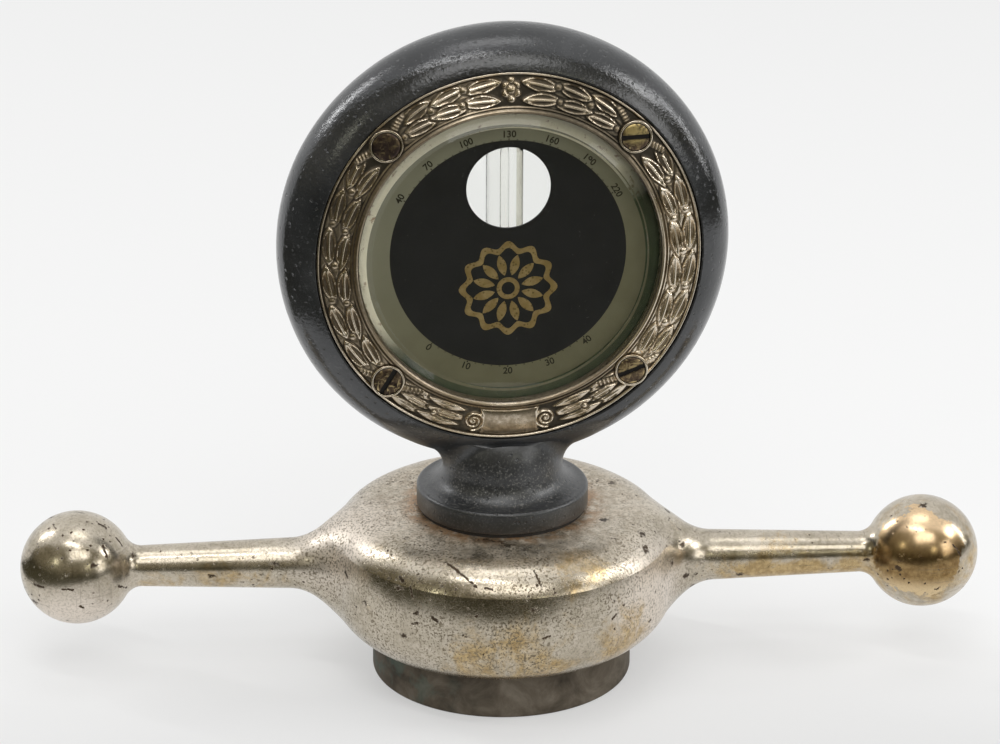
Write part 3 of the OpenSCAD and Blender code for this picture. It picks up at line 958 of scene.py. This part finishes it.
def neck_shell():
    """Foot, flare and neck, whose top ends just under the ring's surface"""
    cols = 320
    c, s = around(cols)

    def circle(r, z):
        return np.stack([r * c, r * s, np.full(cols, z)], 1)

    rim = np.vstack([
        [[SPIGOT_HOLE_R, FOOT_LOW], [12.0, FOOT_LOW], [17.6, FOOT_LOW]],
        arc(18.0, 38.2, 0.3, -90, 0, 5),
        [[FOOT_R, 40.0]],
        arc(17.5, 41.8, FOOT_ROUND, 0, 84, 9),
    ])
    end_r = np.minimum(21.0, 9.0 / np.maximum(np.abs(s), 1e-6))
    end_d = end_r * s
    end_u = end_r * c
    wide = ARC_C + np.sqrt(ARC_R**2 - end_d**2)
    end = np.stack([end_u, end_d, DIAL_Z - np.sqrt(wide**2 - end_u**2) + 0.5], 1)
    flare = [circle(r, z) for r, z in arc(17.2, 47.0, FLARE_R, -90, -182, 22)]
    live = [(row, 0.0) for row in flare]
    live += [(flare[-1] * (1 - w) + end * w, w) for w in np.linspace(0, 1, 44)[1:]]
    rows = [circle(r, z) for r, z in rim]
    for row, w in live:
        sink = -0.06 * np.clip((w - 0.6) / 0.3, 0, 1) ** 2 - 0.4 * np.clip((w - 0.95) / 0.05, 0, 1)
        rows.append(settle(row, neck_field, sink))
    rows.append(circle(SPIGOT_HOLE_R, 56.0))
    points = np.vstack(rows)
    turn = np.array([[math.cos(TURN), -math.sin(TURN)], [math.sin(TURN), math.cos(TURN)]])
    points[:, :2] = points[:, :2] @ turn.T
    return points, grid_faces(len(rows), cols)


def bored(ob, r, z0, z1):
    """Cuts an upright hole on the cap's axis"""
    me = bpy.data.meshes.new("drill")
    points, faces = prism(arc(0, 0, r, 0, 360, 65)[:-1], z0, z1)
    me.from_pydata((points * MM).tolist(), [], faces)
    drill = add_object("drill", me)
    cut = ob.modifiers.new("bore", "BOOLEAN")
    cut.operation = "DIFFERENCE"
    cut.solver = "EXACT"
    cut.object = drill
    graph = bpy.context.evaluated_depsgraph_get()
    done = bpy.data.meshes.new_from_object(ob.evaluated_get(graph))
    ob.modifiers.clear()
    ob.data = done
    bpy.data.objects.remove(drill)


points, faces = revolve(ring_path(), 448)
points[:, :2] *= (0.9988 + wobble(points, 22, 0.0006, 11))[:, None]
ring = [(on_front(points), faces)]
housing = make("housing_ring", ring, CASTING, "meter", ("meter_housing",))
bored(housing, 4.2, 50.0, 70.0)
bored(housing, SPIGOT_HOLE_R, 45.0, 56.0)
make("housing_neck", [neck_shell()], CASTING, "meter", sharp=40)


# Bezels with a laurel wreath

BEZEL_IN = 31.4
BEZEL_OUT = 40.1
FIELD_IN = 33.1
FIELD_OUT = 39.25
GLASS_R = 33.7
GLASS_EDGE = 8.8
BOSS_R = 3.5
BOSS_TOP = 11.1
SCREW_PLACES = (45, 135, 225, 315)


def leaf(h, x, y, length, width, tilt, rise):
    """A leaf with raised edges and a midrib. x and y are from its middle, tip towards +x"""
    c = math.cos(tilt)
    s = math.sin(tilt)
    a = (x * c + y * s) / length + 0.5
    b = np.abs(-x * s + y * c)
    live = np.flatnonzero((a > 0) & (a < 1) & (b < width))
    a = a[live]
    b = b[live]
    half = width / 2 * np.sin(np.pi * a**1.05) ** 0.8
    rim = np.clip(1.3 * np.exp(-(((half - b - 0.3) / 0.26) ** 2)), 0, 1)
    rib = np.clip(1.4 * np.exp(-((b / 0.33) ** 2)), 0, 1) * np.clip((0.97 - a) / 0.1, 0, 1)
    ends = np.clip(a / 0.04, 0, 1) * np.clip((1 - a) / 0.04, 0, 1)
    top = rise * (0.2 + 0.8 * np.maximum(rim, rib)) * np.clip((half - b) / 0.2, 0, 1) * ends
    groove = (b >= half) & (b < half + 0.2)
    h[live[groove]] = np.minimum(h[live[groove]], 0.06)
    on = b < half
    h[live[on]] = top[on]


def berry(h, x, y, r, rise):
    """A round bead in a narrow hollow"""
    q = np.hypot(x, y) / r
    ring = (q < 1.28) & (q >= 1)
    h[ring] = np.minimum(h[ring], 0.18)
    on = q < 1
    h[on] = rise * (0.35 + 0.65 * np.sqrt(1 - q[on] ** 2))


def ridge_line(h, x, y, pts, width, rise):
    """A rounded cord along points"""
    for p, q in zip(pts[:-1], pts[1:]):
        v = q - p
        w = np.clip(((x - p[0]) * v[0] + (y - p[1]) * v[1]) / max(float(v @ v), 1e-9), 0, 1)
        e = np.hypot(x - p[0] - w * v[0], y - p[1] - w * v[1])
        np.maximum(h, rise * np.sqrt(np.clip(1 - (e / width) ** 2, 0, 1)), out=h)


def ribbon(h, x, y, start, end, width, rise):
    """A straight cross-ribbed band that lies over the field"""
    length = math.hypot(end[0] - start[0], end[1] - start[1])
    c = (end[0] - start[0]) / length
    s = (end[1] - start[1]) / length
    along = (x - start[0]) * c + (y - start[1]) * s
    across = np.abs((y - start[1]) * c - (x - start[0]) * s)
    beside = (along > 0) & (along < length)
    ribs = 0.66 + 0.34 * np.cos(along * 2 * np.pi / 0.8)
    groove = beside & (across >= width) & (across < width + 0.25)
    h[groove] = np.minimum(h[groove], 0.06)
    on = beside & (across < width)
    h[on] = (rise * np.clip(1 - (across / width) ** 4, 0, 1) * ribs)[on]


# Angle from the top and length of each pair of leaves, and the flower of berries at the top
LEAF_PAIRS = [(9.4 + 11.0 * k, 9.0) for k in range(3)] + [(57.6 + 12.9 * k, 9.2) for k in range(6)]
TOP_BERRIES = ((0, 34.6, 0.85), (0, 38.3, 0.8), (1.7, 37.2, 0.85), (1.8, 35.7, 0.85), (0, 36.45, 0.95))

# Ribbons tied at the screws: the screw's angle from the top, and both ends from it
RIBBONS = (
    (45, (2.8, 0.9), (7.0, 2.7)),
    (45, (-2.8, 0.9), (-7.0, 2.5)),
    (135, (2.6, 1.3), (5.6, 2.9)),
    (135, (-2.9, -0.5), (-7.6, -2.5)),
)


def wreath(psi, r):
    """Height of the wreath over the field, by angle from the top (right-hand half) and radius"""
    h = np.zeros_like(r)

    def at(deg, radius):
        """Along the rim towards the top, and outwards, from a point of the rim"""
        return -(psi - math.radians(deg)) * r, r - radius

    # Small leaves behind fill the ground, then the pairs of large ones lie over them, the top ones last
    for deg, length in LEAF_PAIRS[::-1]:
        leaf(h, *at(deg + 6.0, 38.6), length * 0.7, 1.7, 0.3, 0.45)
        leaf(h, *at(deg + 6.4, 36.25), length * 0.8, 1.9, 0.0, 0.45)
        leaf(h, *at(deg + 6.4, 33.9), length * 0.7, 1.7, -0.3, 0.45)
    for deg, length in LEAF_PAIRS[::-1]:
        leaf(h, *at(deg, 37.7), length, 3.2, 0.1, 0.85)
        leaf(h, *at(deg + 1.2, 34.75), length, 3.0, -0.1, 0.85)
    for k, (deg, length) in enumerate(LEAF_PAIRS):
        if k % 2:
            berry(h, *at(deg + 6.4, 36.3), 0.8, 0.66)
        else:
            berry(h, *at(deg + 5.6, 37.7), 0.75, 0.62)
            berry(h, *at(deg + 7.2, 34.9), 0.7, 0.66)
    for deg, radius, size in TOP_BERRIES:
        berry(h, *at(deg, radius), size, 0.72)
    # Long leaves beside the bottom panel
    for deg in (145.5, 156.5):
        leaf(h, *at(deg, 38.1), 10.5, 2.0, 0.02, 0.7)
        leaf(h, *at(deg + 2.4, 36.2), 10.5, 2.2, 0.0, 0.75)
        leaf(h, *at(deg + 1.0, 34.2), 9.5, 2.0, -0.02, 0.7)
    berry(h, *at(154.5, 37.0), 0.7, 0.85)
    for deg, start, end in RIBBONS:
        ribbon(h, *at(deg, SCREW_REACH), start, end, 0.85, 0.8)
    # Scroll beside the bottom panel
    x, y = at(168.0, 36.4)
    h[np.hypot(x, y) < 2.5] = 0.1
    spin = np.linspace(0.6, 4.9 * np.pi, 70)
    curl = np.stack([0.148 * spin * np.cos(-spin - 1.9), 0.148 * spin * np.sin(-spin - 1.9)], 1)
    ridge_line(h, x, y, curl, 0.36, 0.9)
    # Plain barrel-shaped panel at the bottom
    x, y = at(180.0, 36.2)
    ends = np.clip((5.9 + 0.06 * y * y - np.abs(x)) / 0.3, 0, 1)
    barrel = np.sqrt(np.clip(1 - (y / 3.35) ** 2, 0, 1)) * ends
    np.maximum(h, 1.05 * barrel, out=h)
    return h


def from_top(t):
    """Angle from the top, to either side"""
    return np.abs((np.pi / 2 - t + np.pi) % (2 * np.pi) - np.pi)


def smooth_wreath(radii, angles):
    """The wreath's heights on a grid, each the mean of its neighbourhood"""
    near_r = 0.0375
    near_t = 0.25 * (angles[1] - angles[0])
    total = 0.0
    for dr in (-near_r, near_r):
        for dt in (-near_t, near_t):
            rr, tt = np.meshgrid(radii + dr, angles + dt, indexing="ij")
            total = total + 0.25 * wreath(from_top(tt).ravel(), rr.ravel()).reshape(rr.shape)
    total = 0.5 * total + 0.25 * (np.roll(total, 1, 1) + np.roll(total, -1, 1))
    above = np.vstack([total[1:], total[-1:]])
    below = np.vstack([total[:1], total[:-1]])
    return 0.5 * total + 0.25 * (above + below)


def bezel_face(radii, t):
    """The ring's face (lip, step, field with its relief, rim) as a grid of points, and the tone of each"""
    rr, tt = np.meshgrid(radii, t, indexing="ij")
    field = np.clip((rr - FIELD_IN) / 0.3, 0, 1) * np.clip((FIELD_OUT - rr) / 0.3, 0, 1)
    relief = smooth_wreath(radii, t) * field
    slope = 9.2 + (39.4 - np.clip(rr, 33, 39.4)) / 6.4 * 1.35
    lip = 11.4 - 0.9 * np.clip(np.abs(rr - 32.0) / 0.62, 0, 1) ** 2.4
    step = 10.95 - 0.35 * np.clip(np.abs(rr - 32.9) / 0.3, 0, 1) ** 2
    rim = 9.85 - 0.5 * np.clip(np.abs(rr - 39.72) / 0.4, 0, 1) ** 2.2
    d = slope + relief
    d = np.where(rr < 32.62, np.maximum(lip, 10.5), np.where(rr < 33.2, np.maximum(step, d), d))
    d = np.where(rr > 39.3, np.maximum(rim, 9.0), d)
    tone = 0.05 + 0.9 * np.clip(relief / 0.85, 0, 1)
    tone = np.where(rr < 33.2, 0.55, np.where(rr > 39.35, 0.85, tone))
    tone = np.where((rr > 32.5) & (rr < 32.75), 0.1, tone)
    panel = (from_top(tt) > math.radians(171)) & (rr > 33.2) & (rr < 39.35)
    tone = np.where(panel, np.minimum(tone, 0.46), tone)
    # Level and dark round each screw
    for place in SCREW_PLACES:
        x, y = SCREW_REACH * unit(place)
        q = np.hypot(rr * np.cos(tt) - x, rr * np.sin(tt) - y)
        w = np.clip((3.9 - q) / 0.5, 0, 1)
        d = np.where(q < 3.9, d * (1 - w) + np.minimum(d, 10.2) * w, d)
        tone = np.where(q < 3.9, tone * (1 - w) + 0.12 * w, tone)
    return np.stack([rr * np.cos(tt), rr * np.sin(tt), d], -1).reshape(-1, 3), tone.ravel()


def bezel_shells():
    """The ring with its face as a fine grid, and a turned rim round each screw"""
    cols = 1440
    radii = np.concatenate([
        [BEZEL_IN, 31.42], np.linspace(31.5, 33.05, 9), np.linspace(FIELD_IN, FIELD_OUT, 42),
        np.linspace(39.32, 39.95, 5), [40.06, BEZEL_OUT],
    ])
    t = np.linspace(0, 2 * np.pi, cols, endpoint=False)
    face, tones = bezel_face(radii, t)
    back = ((BEZEL_OUT, BEZEL_SEAT), (GLASS_R, BEZEL_SEAT), (GLASS_R, GLASS_EDGE), (BEZEL_IN, GLASS_EDGE))
    points = np.vstack([face, revolve(back, cols)[0]])
    tones = np.concatenate([tones, np.full(len(back) * cols, 0.3)])
    shells = [(points, grid_faces(len(radii) + len(back), cols))]
    bore = 3.02
    path = rounded([
        (bore, 9.4, 0.0), (BOSS_R, 9.4, 0.0), (BOSS_R, BOSS_TOP, 0.2), (bore, BOSS_TOP, 0.15),
    ], 4)
    for place in SCREW_PLACES:
        p, f = revolve(path, 72)
        shells.append((shift(p, *(SCREW_REACH * unit(place))), f))
        tones = np.concatenate([tones, np.where(p[:, 2] > 10.8, 0.9, 0.25)])
    return shells, tones


shells, tones = bezel_shells()
for side, place in SIDES:
    make(
        f"bezel_{side}", moved(shells, place), BEZEL, "meter", (f"{side}_bezel",),
        sharp=50, attr=("height", tones),
    )


# Screws, each with its slot where it stopped

HEAD_R = 2.85
HEAD_TOP = 11.3
SHANK_R = 1.3
SLOT_HALF = 0.5

# By place: turn of the slot in degrees and its depth. One is filled with corrosion
SLOTS = {135: (100, 0.25), 45: (2, 0.7), 225: (58, 0.7), 315: (20, 0.7)}


def screw_shells(deg, depth):
    """Head in two halves either side of the slot, on a turned disc with its shank"""
    floor_d = HEAD_TOP - depth
    base = rounded([
        (0.0, 2.7, 0), (SHANK_R, 2.7, 0.1), (SHANK_R, 10.1, 0),
        (HEAD_R, 10.1, 0.1), (HEAD_R, floor_d, 0), (0, floor_d, 0),
    ], 3)
    out = [revolve(base, 64)]
    c, s = unit(deg)
    n = 48
    edge = math.degrees(math.asin(SLOT_HALF / HEAD_R))
    steps = (
        (0.0, floor_d - 0.1), (0.0, 10.98), (0.05, 11.08),
        (0.16, 11.17), (0.5, 11.25), (1.1, HEAD_TOP),
    )
    for side, sign in ((0, 1), (180, -1)):
        layers = []
        for inset, z in steps:
            rim = arc(0, 0, HEAD_R - inset, side + edge, side + 180 - edge, n)
            rim[:, 1] = sign * np.maximum(sign * rim[:, 1], SLOT_HALF + min(inset, 0.05))
            flat = np.column_stack([rim[:, 0] * c - rim[:, 1] * s, rim[:, 0] * s + rim[:, 1] * c])
            layers.append(at_height(flat, z))
        faces = grid_faces(len(layers), n, False).tolist()
        faces.append(list(range(n))[::-1])
        faces.append(list(range(n * (len(layers) - 1), n * len(layers))))
        out.append((np.vstack(layers), faces))
    return out


for (side, place), more in zip(SIDES, (0, 33)):
    screws = []
    for deg, (turn, depth) in SLOTS.items():
        x, y = SCREW_REACH * unit(deg)
        screws += moved(screw_shells(turn + more, depth), lambda p: place(shift(p, x, y)))
    make(
        f"screws_{side}", screws, SCREW, "meter", (f"{side}_screws",),
        sharp=28, weld=True,
    )


# Glasses

GLASS_BACK = 6.8
GLASS_TOP = 10.4

pane = rounded([
    (0.0, GLASS_BACK, 0), (GLASS_R, GLASS_BACK, 0.15), (GLASS_R, GLASS_EDGE, 0.15),
    (31.1, GLASS_EDGE, 0.05), (28.6, GLASS_TOP, 0.12), (0.0, GLASS_TOP, 0),
], 4)
for side, place in SIDES:
    shells = moved([revolve(pane, 320)], place)
    make(f"pane_{side}", shells, PANE, "meter", (f"{side}_glass",), sharp=12, weld=True)


# Dials with plain marks

DIAL_FACE = 6.0
PRINT_LOW = 5.99
PRINT_TOP = 6.06
BLACK_R = 24.6

# The printed ring stands a little low on its card
PRINT_R = 28.7
PRINT_Y = -1.5


def band(r0, r1, a0, a1, z0, n):
    """A flat arc-shaped print"""
    outline = np.vstack([arc(0, 0, r1, a0, a1, n), arc(0, 0, r0, a1, a0, n)])
    return prism(outline, z0, PRINT_TOP)


def numeral(text, size, radius, deg, flip, z):
    """A plain number on the dial, upright along its circle"""
    curve = bpy.data.curves.new("numeral", "FONT")
    curve.body = text
    curve.size = size
    curve.align_x = "CENTER"
    curve.align_y = "CENTER"
    curve.extrude = 0.02
    curve.offset = 0.04
    curve.resolution_u = 6
    ob = bpy.data.objects.new("numeral", curve)
    me = bpy.data.meshes.new_from_object(ob)
    p = np.array([v.co for v in me.vertices], float)
    faces = [list(f.vertices) for f in me.polygons]
    bpy.data.objects.remove(ob)
    bpy.data.curves.remove(curve)
    bpy.data.meshes.remove(me)
    turn = math.radians(deg) - math.pi / 2 + (math.pi if flip else 0)
    c = math.cos(turn)
    s = math.sin(turn)
    flat = np.stack([p[:, 0] * c - p[:, 1] * s, p[:, 0] * s + p[:, 1] * c, p[:, 2]], 1)
    return shift(flat, *(radius * unit(deg)), z), faces


def circle(r, y, n):
    """A circle's points, with its middle at this height on the dial"""
    return np.stack(around(n), 1) * r + np.array([0.0, y])


def flat_ring(r0, y0, r1, y1, z0, z1):
    """A thin plate between two circles whose middles may differ in height"""
    inner = circle(r0, y0, 240)
    outer = circle(r1, y1, 240)
    return stacked((inner, z0), (inner, z1), (outer, z1), (outer, z0))


def disc_with_window(r, hole_r, hole_y, z0, z1):
    """A round plate with the sight hole, as one ring of quads round the hole"""
    hole = circle(hole_r, hole_y, 256)
    way = circle(1.0, 0.0, 256)
    dot = np.sum(hole * way, axis=1)
    reach = np.sqrt(dot**2 - np.sum(hole * hole, axis=1) + r * r) - dot
    rim = hole + way * reach[:, None]
    steps = ((0, z0), (0, z1), (0.3, z1), (0.65, z1), (1, z1), (1, z0), (0.5, z0))
    return stacked(*[(hole * (1 - w) + rim * w, z) for w, z in steps])


def rosette(size):
    """A generic scalloped flower of flat gilt plates, in the middle of its own frame"""
    t = np.linspace(0, 2 * np.pi, 240, endpoint=False)
    wave = 9.6 + 0.7 * np.cos(12 * t)
    outer = np.stack([wave * np.cos(t), wave * np.sin(t)], 1)
    inner = outer * 0.86
    out = [stacked((outer, DIAL_FACE), (outer, PRINT_TOP), (inner, PRINT_TOP), (inner, DIAL_FACE))]
    s = np.linspace(0, 1, 14)
    half = 0.95 * np.sin(np.pi * s) ** 0.8
    length = 2.9 + 4.6 * s
    petal = np.vstack([np.stack([length, half], 1), np.stack([length, -half], 1)[::-1][1:-1]])
    for k in range(12):
        a = 2 * np.pi * (k + 0.5) / 12
        turn = np.array([[math.cos(a), math.sin(a)], [-math.sin(a), math.cos(a)]])
        out.append(prism(petal @ turn, DIAL_FACE, PRINT_TOP))
    out.append(band(1.4, 2.4, 0, 359.999, DIAL_FACE, 60))
    return moved(out, lambda p: p * np.array([size, size, 1.0]))


def marks(first, step, count, low, rise, flip):
    """Ticks and plain numbers along an arc of the dial"""
    out = []
    for k in range(5 * (count - 1) + 1):
        deg = first + step * k / 5
        out.append(band(24.65, 24.85 if k % 5 else 25.0, deg - 0.28, deg + 0.28, 6.02, 3))
    for k in range(count):
        out.append(numeral(str(low + rise * k), 2.0, 25.85, first + step * k, flip, 6.04))
    return out


def dial(side, place, hole_r, hole_y, flower_y, flower_size):
    def add(name, shells, material, *nodes):
        make(f"{name}_{side}", moved(shells, place), material, "meter", nodes)

    plate = disc_with_window(GLASS_R, hole_r, hole_y, DIAL_SEAT, DIAL_FACE)
    add("dial", [plate], DIAL, f"{side}_dial")
    add("dial_ring", [flat_ring(BLACK_R, 0, PRINT_R, PRINT_Y, PRINT_LOW, 6.03)], OLIVE)
    add("dial_margin", [flat_ring(PRINT_R, PRINT_Y, 33.6, 0, PRINT_LOW, 6.02)], CARD)
    add("dial_marks", marks(150, -20, 7, 40, 30, False) + marks(230, 20, 5, 0, 10, True), INK)
    add("dial_rosette", moved(rosette(flower_size), lambda p: shift(p, 0, flower_y)), GOLD)


dial("front", on_front, 8.75, 14.33, -7.5, 1.0)
dial("rear", on_rear, 10.8, 9.5, -12.6, 0.75)


# Thermometer tube with its bulb, fine bore and sealed round end

TUBE_R = 3.8
TUBE_TOP = 116.9
BORE_R = 0.7

tube_path = np.vstack([
    [[0.0, 13.5]],
    arc(2.8, 14.5, 1.0, -90, 0, 6),
    [[TUBE_R, 60.0]],
    arc(0.0, 0.0, 1.0, 0, 90, 14) * np.array([TUBE_R, 2.1]) + np.array([0.0, TUBE_TOP]),
    [[0.0, TUBE_TOP + BORE_R]],
    arc(0.0, TUBE_TOP, BORE_R, 90, 0, 6),
    [[BORE_R, 60.0], [BORE_R, 27.0], [1.2, 26.2], [2.8, 25.0], [2.8, 15.6], [2.2, 15.0], [0.0, 15.0]],
])
tube = revolve(tube_path, 64, closed=False)
make("tube_blown", [tube], TUBE, "meter", ("thermometer_tube",), weld=True)


# Nodes whose shape is right take finished materials

for node, material in (
    ("neck_gasket", LEATHER), ("foot_gasket", RUBBER), ("front_gasket", CARD), ("rear_gasket", CARD),
    ("spirit_reservoir", SPIRIT), ("spirit_column", SPIRIT), ("stem_tube", BRASS), ("packing_bush", CORK),
    ("bulb_guard", BRASS), ("stem_washer", BRASS), ("stem_nut", BRASS),
):
    data = frame["nodes"][node].data
    data.materials.clear()
    data.materials.append(material)


# Floor, light and camera. Places and sizes here are in metres, apart from the camera's

PAPER = (0.905, 0.908, 0.91)
FLOOR_Z = -0.00002
FLOOR_REACH = 4
AIM = (0.0, 0.0, 0.06)
WHITE = (1, 1, 1)
PALE_GREEN = (1.0, 1.0, 0.8)

# Name, place, width, height, power and colour
LAMPS = (
    ("overhead", (0.0, 0.05, 1.2), 0.55, 0.34, 1.0, WHITE),
    ("front_high", (0.06, -0.72, 0.86), 0.75, 0.36, 1.9, WHITE),
    ("left_rear", (-0.83, 0.48, 0.69), 0.04, 0.46, 1.6, WHITE),
    ("over_left", (-0.2, -0.4, 1.12), 0.6, 0.04, 1.5, WHITE),
    ("right_high", (0.9, -0.2, 0.7), 0.3, 0.3, 1.6, WHITE),
    ("right_side", (1.07, 0.13, 0.42), 0.05, 0.6, 1.2, WHITE),
    ("right_front", (0.92, -0.75, 0.42), 0.45, 0.5, 1.5, WHITE),
    ("front_left", (-0.82, -0.68, 0.55), 0.13, 0.13, 0.25, PALE_GREEN),
    ("front_right", (0.42, -1.0, 0.48), 0.13, 0.13, 0.2, PALE_GREEN),
)


def shown_rays(tree):
    """1 for rays from the camera, and for those that metal and glass send on"""
    rays = add_node(tree, "LightPath").outputs
    value = rays["Is Camera Ray"]
    for kind in ("Is Transmission Ray", "Is Glossy Ray"):
        value = add_node(tree, "Math", {0: value, 1: rays[kind]}, operation="MAXIMUM").outputs[0]
    return value


def floor():
    """White paper, painted darker towards the front as a shade where the light falls off. Part of its white
    is shown at a fixed level, which keeps the shadow soft and pale
    """
    me = bpy.data.meshes.new("floor")
    corners = [(-1, -1), (1, -1), (1, 1), (-1, 1)]
    me.from_pydata([(x * FLOOR_REACH, y * FLOOR_REACH, FLOOR_Z) for x, y in corners], [], [[0, 1, 2, 3]])
    ob = add_object("floor", me)
    m = Mat("floor_paper")
    # Painted shade: the paper darkens towards the front
    paper = m.mix(m.span(m.axis("Y"), -0.07, 0.03), tuple(0.85 * v for v in PAPER), PAPER)
    m.set(Base_Color=paper, Roughness=0.9, Specular_IOR_Level=0.0)
    part = m.times(shown_rays(m.tree), 0.46)
    both = m.shade(part, m.bsdf, m.node("Emission", {0: paper}))
    # Clear from below, so that the underside can be looked at
    below = m.node("NewGeometry").outputs["Backfacing"]
    m.show(m.shade(below, both, m.node("BsdfTransparent")))
    me.materials.append(m.mat)


def surround():
    """Dim room in front of the set, seen only in what the metal and glass reflect.

    Its dark ground starts close on the left and in front, further off on the right.
    Its wall goes up like a dome.
    """
    wall_r = 1.6
    points = []
    reach = np.linspace(-114, 112, 60)
    near = np.interp(reach, (-108, 27, 33, 108), (0.15, 0.15, 0.45, 0.45))
    top = np.interp(reach, (-114, -95, -60, 0, 40, 70, 90, 112), (12, 40, 60, 68, 62, 42, 20, 8))
    steps = 9
    for deg, close, high in zip(reach, near, top):
        c, s = unit(deg - 90)
        points.append((close * c, close * s, 0.002))
        for rise in np.linspace(0, math.radians(high), steps - 1):
            r = wall_r * math.cos(rise)
            points.append((r * c, r * s, 0.003 + wall_r * math.sin(rise)))
    me = bpy.data.meshes.new("surround")
    me.from_pydata(points, [], grid_faces(len(reach), steps, False, False).tolist())
    ob = add_object("surround", me)
    m = Mat("surround_cloth")
    colour = m.mix(m.span(m.axis("Z"), 0.05, 0.5), (0.07, 0.066, 0.042), (0.3, 0.27, 0.19))
    m.set(Base_Color=colour, Roughness=0.9, Specular_IOR_Level=0.0)
    me.materials.append(m.mat)
    ob.visible_camera = False
    ob.visible_shadow = False
    ob.visible_diffuse = False


def lamp(name, place, width, height, power, colour):
    data = bpy.data.lights.new(name, "AREA")
    data.shape = "RECTANGLE"
    data.size = width
    data.size_y = height
    data.energy = power
    data.color = colour
    ob = add_object(name, data)
    ob.location = place
    ob.rotation_euler = (Vector(AIM) - Vector(place)).to_track_quat("-Z", "Y").to_euler()


def world():
    """Soft light from all round, and white where it is seen"""
    w = bpy.data.worlds.new("studio")
    bpy.context.scene.world = w
    w.use_nodes = True
    tree = w.node_tree
    tree.nodes.clear()
    soft = add_node(tree, "Background", {0: (1.0, 0.995, 0.985), 1: 0.62})
    white = add_node(tree, "Background", {0: (0.905, 0.91, 0.913), 1: 1.0})
    both = {0: shown_rays(tree), 1: soft.outputs[0], 2: white.outputs[0]}
    mixed = add_node(tree, "MixShader", both)
    add_node(tree, "OutputWorld", {"Surface": mixed.outputs[0]})


def camera():
    """Seen as the photograph was taken: from the front, a little to the left, looking down"""
    az = math.radians(-3.495)
    el = math.radians(21.673)
    roll = math.radians(0.297)
    target = Vector((-0.614, 0.0, 67.468)) * MM
    distance = 802.74
    back = Vector((math.sin(az) * math.cos(el), -math.cos(az) * math.cos(el), math.sin(el)))
    level = Vector((math.cos(az), math.sin(az), 0.0))
    upright = back.cross(level)
    right = level * math.cos(roll) + upright * math.sin(roll)
    up = upright * math.cos(roll) - level * math.sin(roll)
    data = bpy.data.cameras.new("camera")
    data.sensor_fit = "HORIZONTAL"
    data.sensor_width = 36.0
    data.lens = 136.9
    data.clip_end = 20.0
    ob = add_object("camera", data)
    turn = Matrix((right, up, back)).transposed().to_4x4()
    ob.matrix_world = Matrix.Translation(target + back * distance * MM) @ turn
    bpy.context.scene.camera = ob


floor()
surround()
for values in LAMPS:
    lamp(*values)
world()
camera()

bpy.context.scene.view_settings.view_transform = "Standard"
